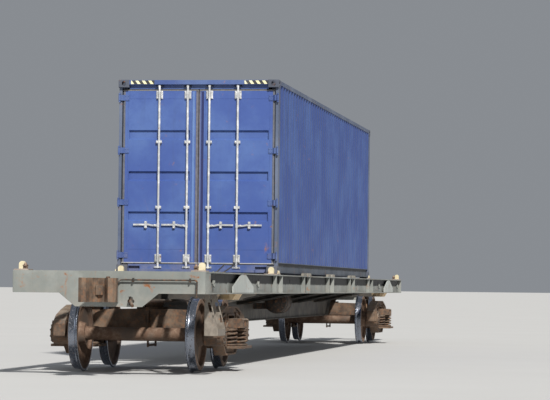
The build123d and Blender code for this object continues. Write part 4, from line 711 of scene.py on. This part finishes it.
# Door header: hazard stripes, slanted light bars on a dark ground
STRIPE_SPANS = ((0.672, 1.035), (-1.054, -0.694))
STRIPE_LOW, STRIPE_HIGH = 4.172, 4.228
STRIPE_WIDE, STRIPE_LEAN, STRIPE_PITCH = 0.047, 0.037, 0.0995
MARGIN = 0.002
dark, light = Shape(), Shape()
for start, stop in STRIPE_SPANS:
    dark.box((HEADER_X - 0.0006, start, STRIPE_LOW), (HEADER_X, stop, STRIPE_HIGH))
    low, high = STRIPE_LOW + MARGIN, STRIPE_HIGH - MARGIN
    for k in range(4):
        y = stop - 0.006 - k * STRIPE_PITCH
        leant = min(y + STRIPE_LEAN, stop - MARGIN)
        outline = [(y - STRIPE_WIDE, low), (y, low)]
        outline += [(leant, high), (y - STRIPE_WIDE + STRIPE_LEAN, high)]
        light.prism(outline, 0, HEADER_X - 0.0011, HEADER_X - 0.0004)
dark.make("hazard_ground", "stripe_dark", "car", "seal")
light.make("hazard_bars", "stripe_light", "car", "fitting")

# Container: weld seams along rails, posts and castings, corner plates on the roof
WALL_SEAM_Y, POST_SEAM_Y, CASTING_SEAM_Y = 1.209, 1.210, 1.213
WALL_SEAM_END, WALL_SEAM_Z = 5.9, (4.172, 1.510)
POST_SEAM_X, POST_SEAM_LOW, POST_SEAM_HIGH = 5.914, 1.52, 4.16
CASTING_SEAM_X, CASTING_SEAM_Z = ((6.0, 6.085), (5.925, 6.0)), (1.464, 4.120)
seams = Shape()
for side in SIDES:
    y = side * WALL_SEAM_Y
    for z in WALL_SEAM_Z:
        seams.weld((-WALL_SEAM_END, y, z), (WALL_SEAM_END, y, z))
    y = side * POST_SEAM_Y
    for x in (-POST_SEAM_X, POST_SEAM_X):
        seams.weld((x, y, POST_SEAM_LOW), (x, y, POST_SEAM_HIGH))
    y = side * CASTING_SEAM_Y
    for end in SIDES:
        for z in CASTING_SEAM_Z:
            for start, stop in CASTING_SEAM_X:
                seams.weld((end * start, y, z), (end * stop, y, z), 0.004)
seams.make("container_seams", "chalk_blue", "car", "container_frame")

PLATE_X, PLATE_Y, PLATE_LOW, PLATE_TOP = (5.60, 5.90), (0.82, 1.10), 4.2205, 4.2255
plates = Shape()
for end in SIDES:
    for side in SIDES:
        (x0, x1), (y0, y1) = sorted(end * x for x in PLATE_X), sorted(side * y for y in PLATE_Y)
        plates.box((x0, y0, PLATE_LOW), (x1, y1, PLATE_TOP))
        middle = (PLATE_LOW + PLATE_TOP) / 2
        for y in (y0, y1):
            plates.weld((x0, y, middle), (x1, y, middle), 0.003)
plates.make("roof_corner_plates", "roof_blue", "car", "container_blue")

# Flatcar frame: weld seams, bolts, blank plates and pipe clamps
RIB_HALF, RIB_SEAM = 0.31, 0.009  # a rib's place off its station, and its seams' off the rib
# Half lengths and levels of the seams on the bolsters' end plates
BOLSTER_SEAMS = ((0.865, SILL_LOW + 0.016), (0.175, DECK_Z - 0.016))
SILL_SEAM_END, SILL_SEAM_Z = 12.1, (SILL_LOW + 0.018, DECK_Z - 0.018)
END_SEAM_Y = 1.235
seams = Shape()
for side in SIDES:
    web_y = side * (SILL_WEB_Y + 0.001)
    for x in RIB_STATIONS:
        for way in SIDES:
            for face in SIDES:
                rib_x = x + way * RIB_HALF + face * RIB_SEAM
                seams.weld((rib_x, web_y, SILL_LOW + 0.02), (rib_x, web_y, DECK_Z - 0.02), 0.004)
    plate_y = side * (HALF_WIDTH - 0.004)
    for end in SIDES:
        middle = end * PIVOT_X
        for half, z in BOLSTER_SEAMS:
            seams.weld((middle - half, plate_y, z), (middle + half, plate_y, z))
    for z in SILL_SEAM_Z:
        seams.weld((-SILL_SEAM_END, web_y, z), (SILL_SEAM_END, web_y, z))
for end in SIDES:
    for side in SIDES:
        x, y = end * (HALF_LENGTH + 0.001), side * END_SEAM_Y
        seams.weld((x, y, SILL_LOW + 0.01), (x, y, DECK_Z - 0.01), 0.004)
seams.make("frame_seams", "frame_grey", "car", "frame_paint")

# Plates that close the sills' chamfered ends, each with a rib back to the web
END_PLATE = [(12.187, 1.2355), (12.0, 1.2625), (11.988, 1.2625), (11.988, 1.2028),
             (12.0, 1.2028), (12.0, 1.2510), (12.187, 1.2240)]
plates = Shape()
for end in SIDES:
    for side in SIDES:
        outline = [(end * x, side * y) for x, y in END_PLATE]
        plates.prism(outline, 2, SILL_LOW + 0.0158, DECK_Z - 0.0158)
plates.make("sill_end_plates", "frame_grey", "car", "frame_paint")

STRIKER_X, STRIKER_BOLT_Y, STRIKER_BOLT_Z = HALF_LENGTH + 0.07, 0.106, (0.965, 1.05, 1.135, 1.215)
END_BOLTS_X, END_BOLTS_Y = (11.9, 11.4, 10.9), 1.19
RIB_BOLTS_X, RIB_BOLTS_Y = 0.24, (0.92, 1.02)
SIDE_BEARING_Y, SIDE_BEARING_LOW = 0.762, 0.905
bolts = Shape()
for end in SIDES:
    for side in SIDES:
        for z in STRIKER_BOLT_Z:
            bolts.bolt((end * STRIKER_X, side * STRIKER_BOLT_Y, z), (end, 0, 0), 0.010, 0.010)
        for x in END_BOLTS_X:
            bolts.bolt((end * x, side * END_BOLTS_Y, DECK_Z), UP, 0.012, 0.012)
        for dx, dy in pairs(0.10, 0.045):
            place = (end * PIVOT_X + dx, side * SIDE_BEARING_Y + dy, SIDE_BEARING_LOW)
            bolts.bolt(place, DOWN, 0.010, 0.010)
for x in RIB_STATIONS:
    for side in SIDES:
        for dx in (-RIB_BOLTS_X, RIB_BOLTS_X):
            for y in RIB_BOLTS_Y:
                bolts.bolt((x + dx, side * y, DECK_Z), UP, 0.010, 0.010)
bolts.make("frame_bolts", "frame_grey", "car", "frame_paint")

BLANKS = ((7.55, 0.42), (4.5, 0.30))  # distance from the middle and width of a blank plate
BLANK_LOW, BLANK_HIGH, BLANK_RIVET = 1.10, 1.26, 0.015
BLANK_FACE_Y = SILL_WEB_Y + 0.003
plates = Shape()
for distance, width in BLANKS:
    half = width / 2
    for x in (-distance, distance):
        for side in SIDES:
            low = (x - half, side * SILL_WEB_Y, BLANK_LOW)
            plates.box(low, (x + half, side * BLANK_FACE_Y, BLANK_HIGH))
            for dx in (BLANK_RIVET - half, half - BLANK_RIVET):
                for z in (BLANK_LOW + BLANK_RIVET, BLANK_HIGH - BLANK_RIVET):
                    plates.rivet((x + dx, side * BLANK_FACE_Y, z), (0, side, 0), 0.006)
plates.make("blank_plates", "frame_grey", "car", "frame_paint")

# The brake pipe crosses from one side of the centre sill to the other near the middle
PIPE_Y, PIPE_Z = 0.3, 0.9477
CLAMP_PLACES = (11.2, 7.9, 4.6, 1.9)
clamps = Shape()
for distance in CLAMP_PLACES:
    for x in (-distance, distance):
        clamps.band((x, -PIPE_Y if x < 0 else PIPE_Y, PIPE_Z), 0.024, 0.004, 12)
clamps.make("pipe_clamps", "black_iron", "car", "gear_black")

# Brake gear: the cylinder's flange bolts, the reservoir's bands, the valve's flange bolts
# and the levers' pins
DRUM_Y, DRUM_Z, DRUM_RADIUS = 0.56, 0.9, 0.187
CYLINDER_FLANGES, RESERVOIR_BANDS = ((0.838, -1), (1.362, 1)), (-1.70, -1.30)
VALVE_FLANGE = (-1.31, 0.3, 0.94)
LEVER_X, LEVER_PIN_Y, LEVER_TOP = (0.740, 1.740), (0.56, 0.80, 0.96), 0.9145
gear = Shape()
for x, way in CYLINDER_FLANGES:
    gear.bolt_circle((x, DRUM_Y, DRUM_Z), DRUM_RADIUS, 10, (way, 0, 0), 0.010, 0.012)
for x in RESERVOIR_BANDS:
    gear.band((x, -DRUM_Y, DRUM_Z), DRUM_RADIUS, 0.006, 32)
gear.bolt_circle(VALVE_FLANGE, 0.075, 6, TO_DOORS_END, 0.009, 0.010)
for x in LEVER_X:
    for y in LEVER_PIN_Y:
        gear.bolt((x, y, LEVER_TOP), UP, 0.018, 0.016)
gear.make("brake_gear_bolts", "black_iron", "car", "gear_black")

# Couplers: the lock's pin and the chain of the lock lifter, by their places at the rear
# coupler; the front one is the same turned half round
PIN_PLACE = (12.70, 0.10, 1.238)
CHAIN_START, CHAIN_STOP = (12.373, 0.15, 1.166), (12.58, 0.06, 1.225)
CHAIN_LINKS, CHAIN_SAG = 7, 0.05
pins = Shape()
for end in SIDES:
    places = [(end * x, end * y, z) for x, y, z in (PIN_PLACE, CHAIN_START, CHAIN_STOP)]
    pin, start, stop = [Vector(place) for place in places]
    pins.lathe([(0, 0.026), (0.012, 0.026), (0.02, 0.018)], pin, UP)
    for k in range(CHAIN_LINKS):
        share = (k + 0.5) / CHAIN_LINKS
        middle = start.lerp(stop, share)
        middle.z -= CHAIN_SAG * sin(pi * share)
        along = (stop - start).normalized()
        across = Vector(UP) if k % 2 else along.orthogonal().cross(along)
        across = (across - along * across.dot(along)).normalized()
        ring = [middle + along * (0.021 * cos(t)) + across * (0.011 * sin(t)) for t in angles(10)]
        pins.tube(ring, 0.0035, 6, closed=True)
pins.make("coupler_pins", "black_iron", "car", "bogie_iron")

# Floor, light and camera
floor = Graph("studio_floor")
tone = floor.mix(floor.noise(0.35, 4, 0.6), (0.50, 0.50, 0.495), (0.55, 0.55, 0.545))
floor.finish(tone, 0.85, floor.bump(floor.noise(30, 4, 0.6), 0.001))
bpy.ops.mesh.primitive_circle_add(vertices=96, radius=900, fill_type="NGON", location=(0, 0, 0))
ground = bpy.context.object
ground.name = "studio_floor"
assign(ground, floor.material)

world = bpy.data.worlds.new("studio")
bpy.context.scene.world = world
world.use_nodes = True
sky = world.node_tree.nodes["Background"].inputs
sky["Color"].default_value = (0.80, 0.85, 0.92, 1)
sky["Strength"].default_value = 0.31


def add_light(data, place, target, energy, colour):
    data.energy = energy
    data.color = colour
    lamp = bpy.data.objects.new(data.name, data)
    bpy.context.scene.collection.objects.link(lamp)
    lamp.location = place
    lamp.rotation_euler = (Vector(target) - Vector(place)).to_track_quat("-Z", "Y").to_euler()


sun = bpy.data.lights.new("key", "SUN")
sun.angle = radians(3)
add_light(sun, (-48, -23, 47), (0, 0, 1), 4.9, (1.0, 0.97, 0.92))
fill = bpy.data.lights.new("fill", "AREA")
fill.size = 16
add_light(fill, (-22, 24, 14), (0, 0, 2), 900, (0.92, 0.96, 1.0))
bpy.context.scene.view_settings.view_transform = "Standard"

# The camera stands low, far ahead of the doors' end, and looks along the car
CAMERA_PLACE = (-43.463, -6.817, 1.148)
CAMERA_TURN = ((0.1488, -0.03538, -0.98823), (-0.98881, 0.00535, -0.14908),
               (0.01057, 0.99936, -0.03419))
camera_data = bpy.data.cameras.new("camera")
camera_data.sensor_width = 36
camera_data.lens = 166.33
camera_data.clip_end = 2000
camera = bpy.data.objects.new("camera", camera_data)
bpy.context.scene.collection.objects.link(camera)
camera.matrix_world = Matrix.Translation(CAMERA_PLACE) @ Matrix(CAMERA_TURN).to_4x4()
bpy.context.scene.camera = camera
